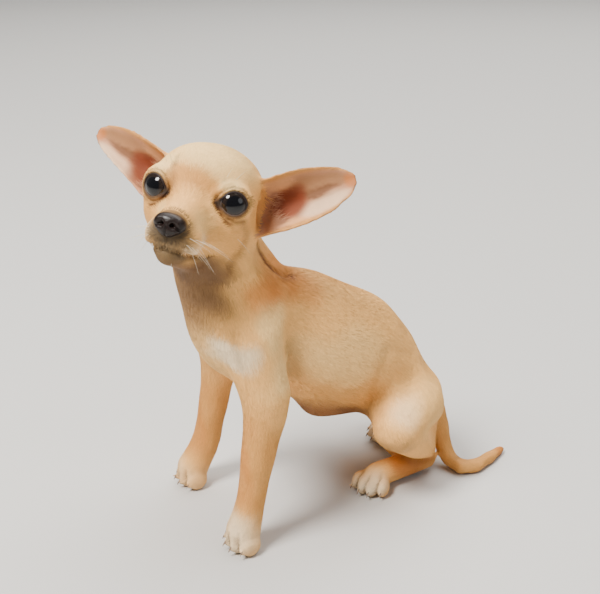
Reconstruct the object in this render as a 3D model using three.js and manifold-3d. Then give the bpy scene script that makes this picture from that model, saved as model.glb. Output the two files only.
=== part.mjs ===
// A short-haired chihuahua puppy, sitting, with its head turned to its left and its ears flared.
// Millimetres. +X is the puppy's left, -Y is forward along its body, +Z is up and z = 0 is the floor.
import * as THREE from "three";
import { mergeVertices } from "three/addons/utils/BufferGeometryUtils.js";
import Module from "manifold-3d";

const wasm = await Module();
wasm.setup();

// Sizes of the whole animal
const GAP = 0.3; // between neighbouring pieces of the body
const BIG = 260; // larger than the puppy, for the blocks that cut it

// Trunk: places are [across, back, up], and half sizes are [across, along, up]
const CHEST = { at: [0, -40.6, 98.5], half: [23.5, 22.8, 29.5] };
const WITHERS = { at: [0, -16.5, 97.5], half: [13, 14, 17] };
const RIBS = { at: [0, -6, 81], half: [24.5, 25.7, 30.3] };
const BELLY = { at: [0, 15.6, 69], half: [25, 27.5, 30.5] };
const PELVIS = { at: [0, 38, 51.5], half: [22.5, 15, 25.5] };
const RUMP = { at: [0, 49, 28.8], half: [20, 15.2, 29.5] };
const SHEATH = { at: [0, -1, 44.5], half: [3.6, 8, 5.2] };
const TRUNK_SOFTNESS = 12; // how far neighbouring forms run into each other
const TRUNK_ROW = [
  [0, -40, 98],
  [0, 2, 72],
  [0, 46, 40],
];

// Neck, from the chest up to the back of the head
const NECK = [
  { at: [0, -42, 104], radius: 19 },
  { at: [-0.3, -48, 121], radius: 17.7 },
  { at: [-0.4, -54.3, 138], radius: 17.2 },
];
const NECK_SOFTNESS = 5;

// Legs, joint by joint. The right foreleg stands a little further back and closer in.
const FORELEGS = {
  left: [
    { at: [18, -45, 95], radius: 13.5 },
    { at: [25.5, -41, 68], radius: 10.6 },
    { at: [26.5, -46, 45], radius: 7.5 },
    { at: [27.3, -50.8, 21], radius: 6.4 },
    { at: [27.3, -54.5, 8.8], radius: 8.2 },
  ],
  right: [
    { at: [-18, -45, 95], radius: 13.5 },
    { at: [-27.5, -38.5, 66], radius: 9.2 },
    { at: [-30, -41.5, 43], radius: 6.9 },
    { at: [-32, -45.5, 21], radius: 6.8 },
    { at: [-33, -52.5, 8.8], radius: 8 },
  ],
};
// The left hind foot lies flat under the belly, and the right one is drawn back with its heel up.
const HINDLEGS = {
  left: [
    [{ at: [16.5, 40, 45], radius: 17.5 }, { at: [29, 24, 40.5], radius: 12.6 }],
    [{ at: [28.5, 26, 38], radius: 11.2 }, { at: [15, 51, 13], radius: 6.2 }],
  ],
  right: [
    [{ at: [-16.5, 40, 45], radius: 17.5 }, { at: [-28.5, 25, 40], radius: 12.6 }],
    [{ at: [-28, 27, 38], radius: 11.2 }, { at: [-21, 67, 25], radius: 6.2 }],
  ],
};
const HIND_FEET = {
  left: [
    { at: [12, 54, 7], radius: 6 },
    { at: [14.5, 23, 7.2], radius: 6.4 },
  ],
  right: [
    { at: [-21, 69, 22], radius: 6 },
    { at: [-22, 56.5, 7.6], radius: 6.8 },
  ],
};
const JOINT_SOFTNESS = 2.5;
const LEG_SOFTNESS = 4.5;

// Toes and claws, four to a paw, the middle two ahead of the outer two
const TOE = { half: [2.9, 5.6, 5], spacing: 4.6, lag: 2.8, fan: 6 };
const FORE_TOES = { ahead: 2.6, turn: { left: 4, right: -4 } };
const HIND_TOES = { ahead: 7, turn: { left: 28, right: -9 } };
const CLAW = { length: 3.6, radius: 0.9, tip: 0.35, droop: 40, up: 4 };

// Tail, from its root down to the floor and back along it
const TAIL = [
  { at: [0, 59, 37], radius: 7 },
  { at: [2, 66, 27], radius: 5.4 },
  { at: [5.5, 67.5, 18], radius: 4.6 },
  { at: [9.5, 66.5, 10], radius: 4.3 },
  { at: [16, 66, 4.8], radius: 4.2 },
  { at: [24, 67.6, 3.5], radius: 3.9 },
  { at: [26, 75, 3.2], radius: 3.6 },
  { at: [22.5, 86, 2.8], radius: 3.2 },
  { at: [17.7, 98, 2.1], radius: 2.5 },
];

// Head, in its own frame: the middle of the skull, -Y towards the nose, +X the puppy's left
const HEAD = { at: [2.4, -55.3, 155.6], turn: 48.3, lift: 13.5, tilt: 11.5 };
const SKULL = { at: [0, 4.5, 1.6], half: [22.4, 23.5, 18.8] };
const FOREHEAD = { at: [0, -7, 5.5], half: [18.5, 13.5, 14] };
const CHEEK = { at: [12, -2, -10.5], half: [11, 14, 12] };
const CHEEKBONE = { at: [13, -11, -8], half: [7.5, 8, 6.5] };
const THROAT = { at: [0, 4, -16], half: [17, 18, 13] };
const BRIDGE = [
  { at: [0, -16, -6.5], radius: 8.5 },
  { at: [0, -33, -10], radius: 5.6 },
];
const MUZZLE = [
  { at: [0, -14, -14], radius: 13 },
  { at: [0, -29, -13.8], radius: 8.2 },
];
const CHIN = [
  { at: [0, -12, -21.4], radius: 10 },
  { at: [0, -31, -22], radius: 5.6 },
];
const LIP = { at: [5.4, -28.5, -16], half: [6.3, 8.8, 6.2] };
const HEAD_SOFTNESS = 5;
const FACE_SOFTNESS = 2.5;

const EYE = { at: [14.7, -12.7, -0.2], radius: 7.1, out: 23, up: 3 };
const LID_THICKNESS = 1.1;
const FISSURE = { half_width: 5.9, half_height: 4.9, tilt: 4 };

const NOSE = { at: [0, -37.2, -10.9], half: [6.3, 4.9, 4.9] };
const NOSTRIL = { at: [3.1, -41.6, -10.5], half: [1.5, 2.6, 1.5] };
const NOSTRIL_SLIT = { at: [5.3, -40, -12.1], half: [2.2, 2.6, 0.8], turn: 30 };
const PHILTRUM = { at: [0, -42.6, -13.5], half: [0.5, 1.7, 3.4] };

// Ears: a leaf bent into a trough that opens forwards and runs out from the side of the head
const EAR = {
  root: [24, 0, -0.3],
  length: 38.2,
  sunk: 7,
  half_width: 11.4,
  thickness: 1.5,
  bend_at_root: 100,
  bend_at_tip: 36,
  along: 12,
  across: 8,
};
// The right ear is swept further back than the left, and its lower half is folded in. Waist narrows
// an ear at its root, lower is the lower half's share of the width, and tuck narrows that further out.
const EAR_POSE = {
  left: { rise: 33, sweep: 14, spread: 0.97, waist: 0.12, lower: 0.98, tuck: 0 },
  right: { rise: 17, sweep: 19, spread: 0.94, waist: 0, lower: 0.68, tuck: 0.3 },
};
const EAR_PIT = { at: [21, 6, 0.5], half: [6, 5, 6.5] };

// Where the pieces part: a point, and the way from it into the next piece
const NECK_PARTING = { at: [0, -44, 118], way: [0, -0.28, 0.96] };
const HEAD_PARTING = { at: [2, 14, -22], way: [0.2, 0.6, -0.77] };
const WRIST_PARTING = { left: 18, right: 18, way: [0, -0.25, -0.97] };
const HOCK_PARTING = {
  left: { at: [14, 53, 10.5], way: [0, -0.32, -0.95] },
  right: { at: [-21, 68, 24], way: [0, 0.22, -0.98] },
};

// Outline of the lower jaw seen from the side of the head, as [back, up]: mouth line on top
const JAW_OUTLINE = [
  [-46, -44],
  [-9, -44],
  [-12.5, -24.6],
  [-15.5, -22.6],
  [-21, -22.8],
  [-28, -21.9],
  [-35, -20.6],
  [-46, -20.3],
];

const UP = new THREE.Vector3(0, 0, 1);
const LEFT = new THREE.Vector3(1, 0, 0);
const SIDES = { left: 1, right: -1 };
const { degToRad: radians, clamp, lerp } = THREE.MathUtils;
const vec = (place) => new THREE.Vector3(...place);
const onSide = (place, side) => [place[0] * side, place[1], place[2]];

// Distance from a point to an ellipsoid
function lobe({ at, half }) {
  return (p) => {
    const x = (p.x - at[0]) / half[0];
    const y = (p.y - at[1]) / half[1];
    const z = (p.z - at[2]) / half[2];
    const scaled = Math.hypot(x, y, z);
    const slope = Math.hypot(x / half[0], y / half[1], z / half[2]);
    return slope > 1e-9 ? (scaled * (scaled - 1)) / slope : -Math.min(...half);
  };
}

const lobes = ({ at, half }) => [lobe({ at, half }), lobe({ at: onSide(at, -1), half })];

// Distance from a point to a tapering limb with round ends
function limb(start, end) {
  const from = vec(start.at);
  const run = vec(end.at).sub(from);
  const lengthSquared = run.lengthSq();
  const offset = new THREE.Vector3();
  return (p) => {
    offset.subVectors(p, from);
    const share = clamp(offset.dot(run) / lengthSquared, 0, 1);
    return offset.addScaledVector(run, -share).length() - lerp(start.radius, end.radius, share);
  };
}

const limbs = (joints) => joints.slice(1).map((joint, i) => limb(joints[i], joint));
const placesOf = (joints) => joints.map(({ at }) => at);

// Forms that run softly into each other
function blend(softness, ...forms) {
  return (p) => {
    let nearest = forms[0](p);
    for (let i = 1; i < forms.length; i++) {
      const other = forms[i](p);
      const share = Math.max(softness - Math.abs(nearest - other), 0) / softness;
      nearest = Math.min(nearest, other) - (share * share * softness) / 4;
    }
    return nearest;
  };
}

// A closed geometry as a solid that can be joined and cut
function solid(geometry) {
  geometry.deleteAttribute("normal");
  geometry.deleteAttribute("uv");
  const merged = mergeVertices(geometry, 1e-4);
  const build = (triVerts) =>
    new wasm.Manifold(
      new wasm.Mesh({
        numProp: 3,
        vertProperties: new Float32Array(merged.getAttribute("position").array),
        triVerts,
      }),
    );
  const corners = new Uint32Array(merged.index.array);
  const made = build(corners);
  return made.volume() > 0 ? made : build(corners.reverse());
}

// How far out along a way from the middle of a form its skin lies
function skinDistance(form, from, way, reach, grow) {
  const p = new THREE.Vector3();
  let inside = 0;
  let outside = 0;
  while (form(p.copy(from).addScaledVector(way, outside)) <= grow) {
    if (outside >= reach) return reach;
    inside = outside;
    outside += 0.8;
  }
  for (let halving = 0; halving < 14; halving++) {
    const middle = (inside + outside) / 2;
    if (form(p.copy(from).addScaledVector(way, middle)) > grow) outside = middle;
    else inside = middle;
  }
  return outside;
}

// A closed skin round a row of places: a sphere's points sent out from the row to a form's surface
function wrap(form, row, { sides, rings, cap, reach, grow = 0 }) {
  const curve = new THREE.CatmullRomCurve3(row.map(vec));
  const geometry = new THREE.SphereGeometry(1, sides, rings);
  const points = geometry.getAttribute("position");
  const across = new THREE.Vector3();
  const over = new THREE.Vector3();
  const way = new THREE.Vector3();
  for (let i = 0; i < points.count; i++) {
    const share = Math.floor(i / (sides + 1)) / rings;
    const turn = (2 * Math.PI * ((i % (sides + 1)) % sides)) / sides;
    const onCurve = clamp((share - cap) / (1 - 2 * cap), 0, 1);
    const from = curve.getPointAt(onCurve);
    const along = curve.getTangentAt(onCurve);
    across.copy(LEFT).addScaledVector(along, -along.dot(LEFT)).normalize();
    over.crossVectors(along, across);
    const lean = (Math.min(share / cap, (1 - share) / cap, 1) * Math.PI) / 2;
    way.copy(across).multiplyScalar(Math.cos(turn) * Math.sin(lean));
    way.addScaledVector(over, Math.sin(turn) * Math.sin(lean));
    way.addScaledVector(along, share < 0.5 ? -Math.cos(lean) : Math.cos(lean)).normalize();
    from.addScaledVector(way, skinDistance(form, from, way, reach, grow));
    points.setXYZ(i, from.x, from.y, from.z);
  }
  return solid(geometry);
}

function ball({ at, half, turn = 0 }, sides, rings, grow = 0) {
  const geometry = new THREE.SphereGeometry(1, sides, rings);
  geometry.scale(half[0] + grow, half[1] + grow, half[2] + grow);
  geometry.rotateY(radians(turn));
  geometry.translate(...at);
  return solid(geometry);
}

// Everything past a flat parting, less half the gap
function past({ at, way }) {
  const block = new THREE.BoxGeometry(BIG, BIG, BIG);
  block.translate(0, 0, (BIG - GAP) / 2);
  block.applyQuaternion(new THREE.Quaternion().setFromUnitVectors(UP, vec(way).normalize()));
  block.translate(...at);
  return solid(block);
}

const joined = (start, pieces) => pieces.reduce((whole, piece) => whole.add(piece), start);
const before = ({ at, way }) => past({ at, way: way.map((part) => -part) });
const belowFloor = past({ at: [0, 0, -GAP / 2], way: [0, 0, -1] });

// A flat outline moved outwards by a distance. Its points run anticlockwise.
function outset(outline, distance) {
  return outline.map((point, i) => {
    const last = outline[(i + outline.length - 1) % outline.length];
    const next = outline[(i + 1) % outline.length];
    const edgeIn = new THREE.Vector2(point[0] - last[0], point[1] - last[1]).normalize();
    const edgeOut = new THREE.Vector2(next[0] - point[0], next[1] - point[1]).normalize();
    const turning = 1 + edgeIn.dot(edgeOut);
    return new THREE.Vector2(
      point[0] + (distance * (edgeIn.y + edgeOut.y)) / turning,
      point[1] - (distance * (edgeIn.x + edgeOut.x)) / turning,
    );
  });
}

// The space of the lower jaw: an outline seen from the side, run right across the head
function jawBlock(grow = 0) {
  const shape = new THREE.Shape(outset(JAW_OUTLINE, grow));
  const geometry = new THREE.ExtrudeGeometry(shape, { depth: BIG, bevelEnabled: false });
  geometry.translate(0, 0, -BIG / 2);
  geometry.rotateX(Math.PI / 2);
  geometry.rotateZ(Math.PI / 2);
  return solid(geometry);
}

// The head's own frame, placed in the body's
const headPlace = new THREE.Matrix4()
  .makeRotationZ(radians(HEAD.turn))
  .multiply(new THREE.Matrix4().makeRotationX(radians(-HEAD.lift)))
  .multiply(new THREE.Matrix4().makeRotationY(radians(HEAD.tilt)))
  .setPosition(...HEAD.at);
const intoHead = headPlace.clone().invert();
const headPartingInBody = {
  at: vec(HEAD_PARTING.at).applyMatrix4(headPlace).toArray(),
  way: vec(HEAD_PARTING.way).transformDirection(headPlace).toArray(),
};

// The animal's flesh as forms
const lidRadius = EYE.radius + GAP + LID_THICKNESS;
const headForm = blend(
  FACE_SOFTNESS,
  blend(
    HEAD_SOFTNESS,
    lobe(SKULL),
    lobe(FOREHEAD),
    ...lobes(CHEEK),
    ...lobes(CHEEKBONE),
    ...limbs(MUZZLE),
    ...limbs(BRIDGE),
    lobe(THROAT),
  ),
  ...lobes(LIP),
  ...limbs(CHIN),
  ...lobes({ at: EYE.at, half: [lidRadius, lidRadius, lidRadius] }),
);
const pointInHead = new THREE.Vector3();
const headInBody = (p) => headForm(pointInHead.copy(p).applyMatrix4(intoHead));
const trunkForm = blend(
  TRUNK_SOFTNESS,
  ...[CHEST, WITHERS, RIBS, BELLY, PELVIS, RUMP].map(lobe),
  ...limbs(NECK),
  lobe(SHEATH),
);
const uprightForm = blend(NECK_SOFTNESS, trunkForm, headInBody);
const pointInBody = new THREE.Vector3();
const headAndNeckForm = (p) => uprightForm(pointInBody.copy(p).applyMatrix4(headPlace));

const trunkSkin = (grow) =>
  wrap(uprightForm, TRUNK_ROW, { sides: 30, rings: 30, cap: 0.22, reach: 60, grow });
const trunkSpace = trunkSkin(GAP);

const footSkin = (joints, grow) =>
  wrap(blend(JOINT_SOFTNESS, ...limbs(joints)), placesOf(joints), {
    sides: 10,
    rings: 10,
    cap: 0.24,
    reach: 40,
    grow,
  });

function torso() {
  return trunkSkin(0)
    .subtract(past(NECK_PARTING))
    .subtract(footSkin(HIND_FEET.left, GAP))
    .subtract(footSkin(HIND_FEET.right, GAP))
    .subtract(belowFloor);
}

function neck() {
  return wrap(uprightForm, placesOf(NECK), { sides: 30, rings: 14, cap: 0.3, reach: 36 })
    .subtract(before(NECK_PARTING))
    .subtract(before(headPartingInBody));
}

// A leg, running softly into the trunk and cut clear of it. A folded leg is given in its two halves.
function leg(halves, parting, rings) {
  const wraps = halves.map((joints) => {
    const form = blend(LEG_SOFTNESS, trunkForm, blend(JOINT_SOFTNESS, ...limbs(joints)));
    return wrap(form, placesOf(joints), { sides: 14, rings, cap: 0.2, reach: 30 });
  });
  return joined(wraps[0], wraps.slice(1))
    .subtract(trunkSpace)
    .subtract(past(NECK_PARTING))
    .subtract(past(parting))
    .subtract(past({ at: [0, 0, 0], way: [-Math.sign(halves[0][0].at[0]), 0, 0] }))
    .subtract(belowFloor);
}

const wristParting = (name) => ({
  at: [FORELEGS[name].at(-2).at[0], FORELEGS[name].at(-2).at[1], WRIST_PARTING[name]],
  way: WRIST_PARTING.way,
});

// Four toes with claws, spread across the front of a paw
function toes(knuckles, ahead, turn) {
  const made = [];
  for (const place of [-1.5, -0.5, 0.5, 1.5]) {
    const lag = Math.abs(place) > 1 ? TOE.lag : 0;
    const toe = new THREE.SphereGeometry(1, 8, 6);
    toe.rotateX(Math.PI / 2);
    toe.scale(...TOE.half);
    const claw = new THREE.CylinderGeometry(CLAW.radius * CLAW.tip, CLAW.radius, CLAW.length, 4);
    claw.rotateX(Math.PI / 2 + radians(CLAW.droop));
    claw.translate(0, -TOE.half[1] - CLAW.length * 0.1, CLAW.up - TOE.half[2]);
    for (const piece of [toe, claw]) {
      piece.rotateZ(radians(place * TOE.fan));
      piece.translate(place * TOE.spacing, lag - ahead, TOE.half[2] - 0.4);
      piece.rotateZ(radians(turn));
      piece.translate(knuckles[0], knuckles[1], 0);
      made.push(solid(piece));
    }
  }
  return made;
}

function forepaw(name) {
  const joints = FORELEGS[name];
  const knuckles = joints.at(-1).at;
  const form = blend(JOINT_SOFTNESS, ...limbs(joints));
  const palm = wrap(form, placesOf(joints.slice(-2)), { sides: 12, rings: 10, cap: 0.3, reach: 14 })
    .subtract(before(wristParting(name)));
  return joined(palm, toes(knuckles, FORE_TOES.ahead, FORE_TOES.turn[name])).subtract(belowFloor);
}

function hindpaw(name) {
  const joints = HIND_FEET[name];
  const sole = footSkin(joints, 0).subtract(before(HOCK_PARTING[name]));
  return joined(sole, toes(joints[1].at, HIND_TOES.ahead, HIND_TOES.turn[name])).subtract(belowFloor);
}

function tail() {
  return wrap(blend(JOINT_SOFTNESS, ...limbs(TAIL)), placesOf(TAIL), {
    sides: 8,
    rings: 24,
    cap: 0.06,
    reach: 12,
  })
    .subtract(trunkSpace)
    .subtract(belowFloor);
}

// The head's pieces, in its own frame
const HEAD_ROW = [
  [0, 12, 0],
  [0, -2, -4],
  [0, -16, -10],
  [0, -28, -14],
];
const headSkin = (grow) =>
  wrap(headAndNeckForm, HEAD_ROW, { sides: 36, rings: 28, cap: 0.24, reach: 38, grow });
const headSolid = headSkin(0);
const headSpace = headSkin(GAP);
const eyeball = (side, grow = 0) =>
  ball({ at: onSide(EYE.at, side), half: [EYE.radius, EYE.radius, EYE.radius] }, 16, 10, grow);

// The opening between the lids, run forwards out of the middle of the eye
function fissure(side) {
  const { half_width: w, half_height: h } = FISSURE;
  const shape = new THREE.Shape();
  shape.moveTo(-w, 0);
  shape.bezierCurveTo(-w * 0.6, -h * 1.33, w * 0.6, -h * 1.33, w, 0);
  shape.bezierCurveTo(w * 0.6, h * 1.33, -w * 0.6, h * 1.33, -w, 0);
  const geometry = new THREE.ExtrudeGeometry(shape, { depth: 20, bevelEnabled: false, curveSegments: 8 });
  const ahead = new THREE.Vector3(
    Math.sin(radians(EYE.out)) * side,
    -Math.cos(radians(EYE.out)),
    Math.sin(radians(EYE.up)),
  ).normalize();
  const across = new THREE.Vector3().crossVectors(UP, ahead).normalize();
  const over = new THREE.Vector3().crossVectors(ahead, across);
  geometry.rotateZ(radians(FISSURE.tilt * side));
  geometry.translate(0, 0, EYE.radius * 0.3);
  geometry.applyMatrix4(new THREE.Matrix4().makeBasis(across, over, ahead));
  geometry.translate(...onSide(EYE.at, side));
  return solid(geometry);
}

function head() {
  let made = headSolid
    .subtract(past(HEAD_PARTING))
    .subtract(jawBlock(GAP))
    .subtract(ball(NOSE, 14, 9, GAP));
  for (const side of Object.values(SIDES)) {
    made = made
      .subtract(eyeball(side, GAP))
      .subtract(fissure(side))
      .subtract(ball({ at: onSide(EAR_PIT.at, side), half: EAR_PIT.half }, 12, 8));
  }
  return made;
}

const lowerJaw = () => headSolid.intersect(jawBlock());

function nose() {
  let made = ball(NOSE, 14, 9).subtract(ball(PHILTRUM, 6, 6));
  for (const side of Object.values(SIDES)) {
    const slit = { ...NOSTRIL_SLIT, at: onSide(NOSTRIL_SLIT.at, side), turn: NOSTRIL_SLIT.turn * side };
    made = made
      .subtract(ball({ at: onSide(NOSTRIL.at, side), half: NOSTRIL.half }, 8, 5))
      .subtract(ball(slit, 8, 6));
  }
  return made;
}

// A place on the inner face of the left ear: from root to tip, and from lower to upper edge
function earFace(outwards, upwards, { rise, sweep, spread, waist, lower, tuck }) {
  const tilt = radians(rise);
  const share = Math.max(outwards, 0);
  const atRoot = 1 - waist * (1 - clamp(share / 0.4, 0, 1)) ** 2;
  const below = lower * (1 - tuck * 6.75 * share ** 2 * (1 - share));
  const fullness = spread * (1 - share ** 3.2) ** 0.62 * atRoot * lerp(1, below, clamp(-upwards, 0, 1));
  const halfWidth = EAR.half_width * fullness;
  const bend = radians(lerp(EAR.bend_at_root, EAR.bend_at_tip, share ** 0.7));
  const radius = halfWidth / Math.sin(Math.min(bend, Math.PI / 2));
  const over = radius * Math.sin(bend * upwards);
  const depth = radius * (Math.cos(bend * upwards) - Math.cos(bend));
  const along = outwards * EAR.length;
  return new THREE.Vector3(
    EAR.root[0] + along * Math.cos(tilt) - over * Math.sin(tilt),
    EAR.root[1] + depth + share * sweep,
    EAR.root[2] + along * Math.sin(tilt) + over * Math.cos(tilt),
  );
}

function ear(name) {
  const geometry = new THREE.BoxGeometry(1, 1, 1, EAR.along, EAR.across, 1);
  const points = geometry.getAttribute("position");
  const pose = EAR_POSE[name];
  const step = 0.01;
  const start = -EAR.sunk / EAR.length;
  for (let i = 0; i < points.count; i++) {
    const outwards = lerp(start, 0.985, points.getX(i) + 0.5);
    const upwards = 2 * points.getY(i);
    const place = earFace(outwards, upwards, pose);
    const inwards = earFace(outwards - step, upwards, pose).sub(place);
    const climb = earFace(outwards, upwards + step, pose).sub(place);
    const backwards = inwards.cross(climb).normalize();
    place.addScaledVector(backwards, (0.5 - points.getZ(i)) * EAR.thickness);
    points.setXYZ(i, place.x * SIDES[name], place.y, place.z);
  }
  return solid(geometry).subtract(headSpace);
}

// Colours of the coat, the bare ear, the nose and the eyes
const matt = (color, roughness = 0.85) =>
  new THREE.MeshStandardMaterial({ color, roughness, metalness: 0 });
const tanCoat = matt(0xd9b98a);
const creamCoat = matt(0xe9d9bd);
const goldCoat = matt(0xd2a06a);
const innerEar = matt(0xd6a58c, 0.7);
const noseLeather = matt(0x2b2220, 0.45);
const eyeGloss = matt(0x14100e, 0.06);

// A named mesh of the largest closed surface of a solid
function mesh(name, made, material) {
  const largest = made.decompose().sort((a, b) => b.volume() - a.volume())[0];
  const { vertProperties, triVerts } = largest.getMesh();
  const geometry = new THREE.BufferGeometry();
  geometry.setAttribute("position", new THREE.BufferAttribute(new Float32Array(vertProperties), 3));
  geometry.setIndex(new THREE.BufferAttribute(new Uint32Array(triVerts), 1));
  geometry.computeVertexNormals();
  const piece = new THREE.Mesh(geometry, material);
  piece.name = name;
  return piece;
}

const puppy = new THREE.Group();
puppy.add(mesh("torso", torso(), tanCoat));
puppy.add(mesh("neck", neck(), tanCoat));
puppy.add(mesh("tail", tail(), goldCoat));

const headGroup = new THREE.Group();
headGroup.add(mesh("head", head(), creamCoat));
headGroup.add(mesh("lower_jaw", lowerJaw(), creamCoat));
headGroup.add(mesh("nose", nose(), noseLeather));
headPlace.decompose(headGroup.position, headGroup.quaternion, headGroup.scale);
puppy.add(headGroup);

for (const [name, side] of Object.entries(SIDES)) {
  puppy.add(mesh(`foreleg_${name}`, leg([FORELEGS[name]], wristParting(name), 16), tanCoat));
  puppy.add(mesh(`forepaw_${name}`, forepaw(name), creamCoat));
  puppy.add(mesh(`hindleg_${name}`, leg(HINDLEGS[name], HOCK_PARTING[name], 10), tanCoat));
  puppy.add(mesh(`hindpaw_${name}`, hindpaw(name), creamCoat));
  headGroup.add(mesh(`ear_${name}`, ear(name), innerEar));
  headGroup.add(mesh(`eye_${name}`, eyeball(side), eyeGloss));
}

// The frame starts on the floor, at the middle of the puppy's box
const box = new THREE.Box3().setFromObject(puppy, true);
const middle = box.getCenter(new THREE.Vector3());
puppy.position.set(-middle.x, -middle.y, -box.min.z);

export default puppy;
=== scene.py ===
# A short-haired chihuahua puppy, sitting with its head turned and its ears flared.
# Places named "at" are millimetres in the puppy's own frame: +X its left, -Y forwards, +Z up.
import math

import bmesh
import bpy
import numpy as np
from bpy.props import FloatProperty, FloatVectorProperty, IntProperty, PointerProperty
from mathutils import Matrix, Vector
from mathutils.bvhtree import BVHTree


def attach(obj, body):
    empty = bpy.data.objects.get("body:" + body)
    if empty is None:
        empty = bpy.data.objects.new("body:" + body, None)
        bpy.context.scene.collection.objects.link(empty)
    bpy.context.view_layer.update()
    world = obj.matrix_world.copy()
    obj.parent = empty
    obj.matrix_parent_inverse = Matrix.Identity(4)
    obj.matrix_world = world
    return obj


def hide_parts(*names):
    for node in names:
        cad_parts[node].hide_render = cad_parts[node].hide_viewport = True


bl_info = {
    "name": "Chihuahua puppy",
    "version": (1, 0, 0),
    "blender": (4, 5, 0),
    "location": "View3D > Sidebar > Puppy",
    "description": "Skin, coat, eyes, nose, claws and whiskers of a sitting short-haired puppy",
    "category": "Object",
}

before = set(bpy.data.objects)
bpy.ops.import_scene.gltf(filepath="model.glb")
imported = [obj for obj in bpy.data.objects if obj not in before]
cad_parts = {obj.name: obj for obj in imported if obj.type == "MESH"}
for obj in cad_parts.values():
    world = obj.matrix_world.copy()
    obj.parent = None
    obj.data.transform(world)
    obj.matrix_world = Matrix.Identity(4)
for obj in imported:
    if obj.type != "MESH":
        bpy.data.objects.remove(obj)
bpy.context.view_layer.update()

MM = 0.001
ORIGIN = Vector((6.439, -5.31, 0.0))

# Head: its middle and turn, with -Y towards the nose
HEAD_AT = Vector((2.4, -55.3, 155.6))
HEAD_TURN = math.radians(48.3)
HEAD_LIFT = math.radians(13.5)
HEAD_TILT = math.radians(11.5)
TO_BODY = Matrix.Translation(HEAD_AT) @ (
    Matrix.Rotation(HEAD_TURN, 4, "Z")
    @ Matrix.Rotation(-HEAD_LIFT, 4, "X")
    @ Matrix.Rotation(HEAD_TILT, 4, "Y")
)
TO_HEAD = TO_BODY.inverted()

# From millimetres in the puppy's frame, and in the head's, to the shared frame in metres
BODY_PLACE = Matrix.Scale(MM, 4) @ Matrix.Translation(ORIGIN)
HEAD_PLACE = BODY_PLACE @ TO_BODY

SIDES = {"left": 1, "right": -1}
FLESH = (
    "torso", "neck", "tail", "head", "lower_jaw", "ear_left", "ear_right",
    "foreleg_left", "foreleg_right", "forepaw_left", "forepaw_right",
    "hindleg_left", "hindleg_right", "hindpaw_left", "hindpaw_right",
)

# How deep the hair stands over the skin, in mm, and how far the skin is evened out, by part
COAT_DEPTH = {
    "torso": 0.60, "neck": 0.55, "tail": 0.60, "head": 0.35, "lower_jaw": 0.30, "ear": 0.15,
    "foreleg": 0.45, "forepaw": 0.30, "hindleg": 0.55, "hindpaw": 0.30,
}
EVENING = {
    "torso": 1.0, "neck": 1.0, "tail": 0.35, "head": 0.3, "lower_jaw": 0.3, "ear": 0.15,
    "foreleg": 0.6, "forepaw": 0.12, "hindleg": 0.7, "hindpaw": 0.12,
}

# Rounds of evening for a skin whose squares are 1 mm, and the weight of each
EVENING_ROUNDS = 36
EVENING_WEIGHT = 0.6

# Eyes, in the head's frame: middle, and the way each looks out and up, in degrees
EYES = {
    "left": ((14.8, -12.7, 0.1), 23, 5),
    "right": ((-14.3, -12.8, -0.6), 19, -1),
}
LID_TILT = math.radians(4)

# The opening between the lids: its steps, how far its inner corner is drawn in and down, in mm, and from
# where on, as a cosine
OPENING_STEPS = 90
CORNER_REACH = 1.1
CORNER_DROP = 0.75
CORNER_START = 0.72

# The mouth line, as places along the head and how high it runs there
MOUTH_BACK = (-42.0, -35.0, -28.0, -21.0, -15.5, -11.0)
MOUTH_UP = (-20.3, -20.6, -21.9, -22.9, -22.7, -21.4)

# Soft ends of the mouth: from none of it to all of it, along the head and downwards
MOUTH_CORNER = (-10.5, -14.5)
MOUTH_TOP = (-12.0, -15.0)

# Ears: where they leave the head, their length and half width, and the rise and spread of each
EAR_ROOT = (24.0, 0.0, -0.3)
EAR_LENGTH = 38.2
EAR_HALF_WIDTH = 11.4
EAR_TIP_POWER = 3.2
EAR_SIDE_POWER = 0.62
EAR_END = 0.985
EARS = {"left": (33, 0.97), "right": (17, 0.94)}

NOSE_AT = Vector((0.0, -37.2, -10.9))
NOSE_HALF = Vector((6.3, 4.9, 4.9))

# Paws: knuckles, how far ahead of them the toes stand, and their turn in degrees
PAWS = {
    "forepaw_left": ((27.3, -54.5), 2.6, 4),
    "forepaw_right": ((-33.0, -52.5), 2.6, -4),
    "hindpaw_left": ((14.5, 23.0), 7.0, 28),
    "hindpaw_right": ((-22.0, 56.5), 7.0, -9),
}

# Toes: their places, how far apart they stand, how far the outer ones lag, their fan in degrees, their half
# sizes, the flats under them, and how far a paw's toes reach to either side and ahead
TOE_PLACES = (-1.5, -0.5, 0.5, 1.5)
TOE_SPACING = 4.6
TOE_LAG = 2.8
TOE_FAN = 6
TOE_HALF = Vector((2.9, 5.6, 5.0))
TOE_FLAT = 0.4
TOES_HALF_WIDTH = 10
TOES_REACH = 22


def linear(r, g, b):
    """A screen colour of 0 to 255 as linear light."""
    return tuple(c / 3294.6 if c <= 10 else ((c / 255 + 0.055) / 1.055) ** 2.4 for c in (r, g, b))


def colour(name, description, *screen):
    """A colour that can be changed."""
    default = linear(*screen)
    return FloatVectorProperty(
        name=name, description=description, subtype="COLOR", size=3, min=0.0, max=1.0, default=default
    )


def length(name, description, millimetres):
    """A length that can be changed."""
    default = millimetres * MM
    return FloatProperty(name=name, description=description, unit="LENGTH", precision=5, default=default)


def factor(name, description, low, high):
    """A share of the usual amount that can be changed."""
    return FloatProperty(
        name=name, description=description, subtype="FACTOR", min=low, max=high, default=1.0
    )


def power(name, description, watts):
    """A light's power that can be changed."""
    return FloatProperty(name=name, description=description, subtype="POWER", default=watts)


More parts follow.
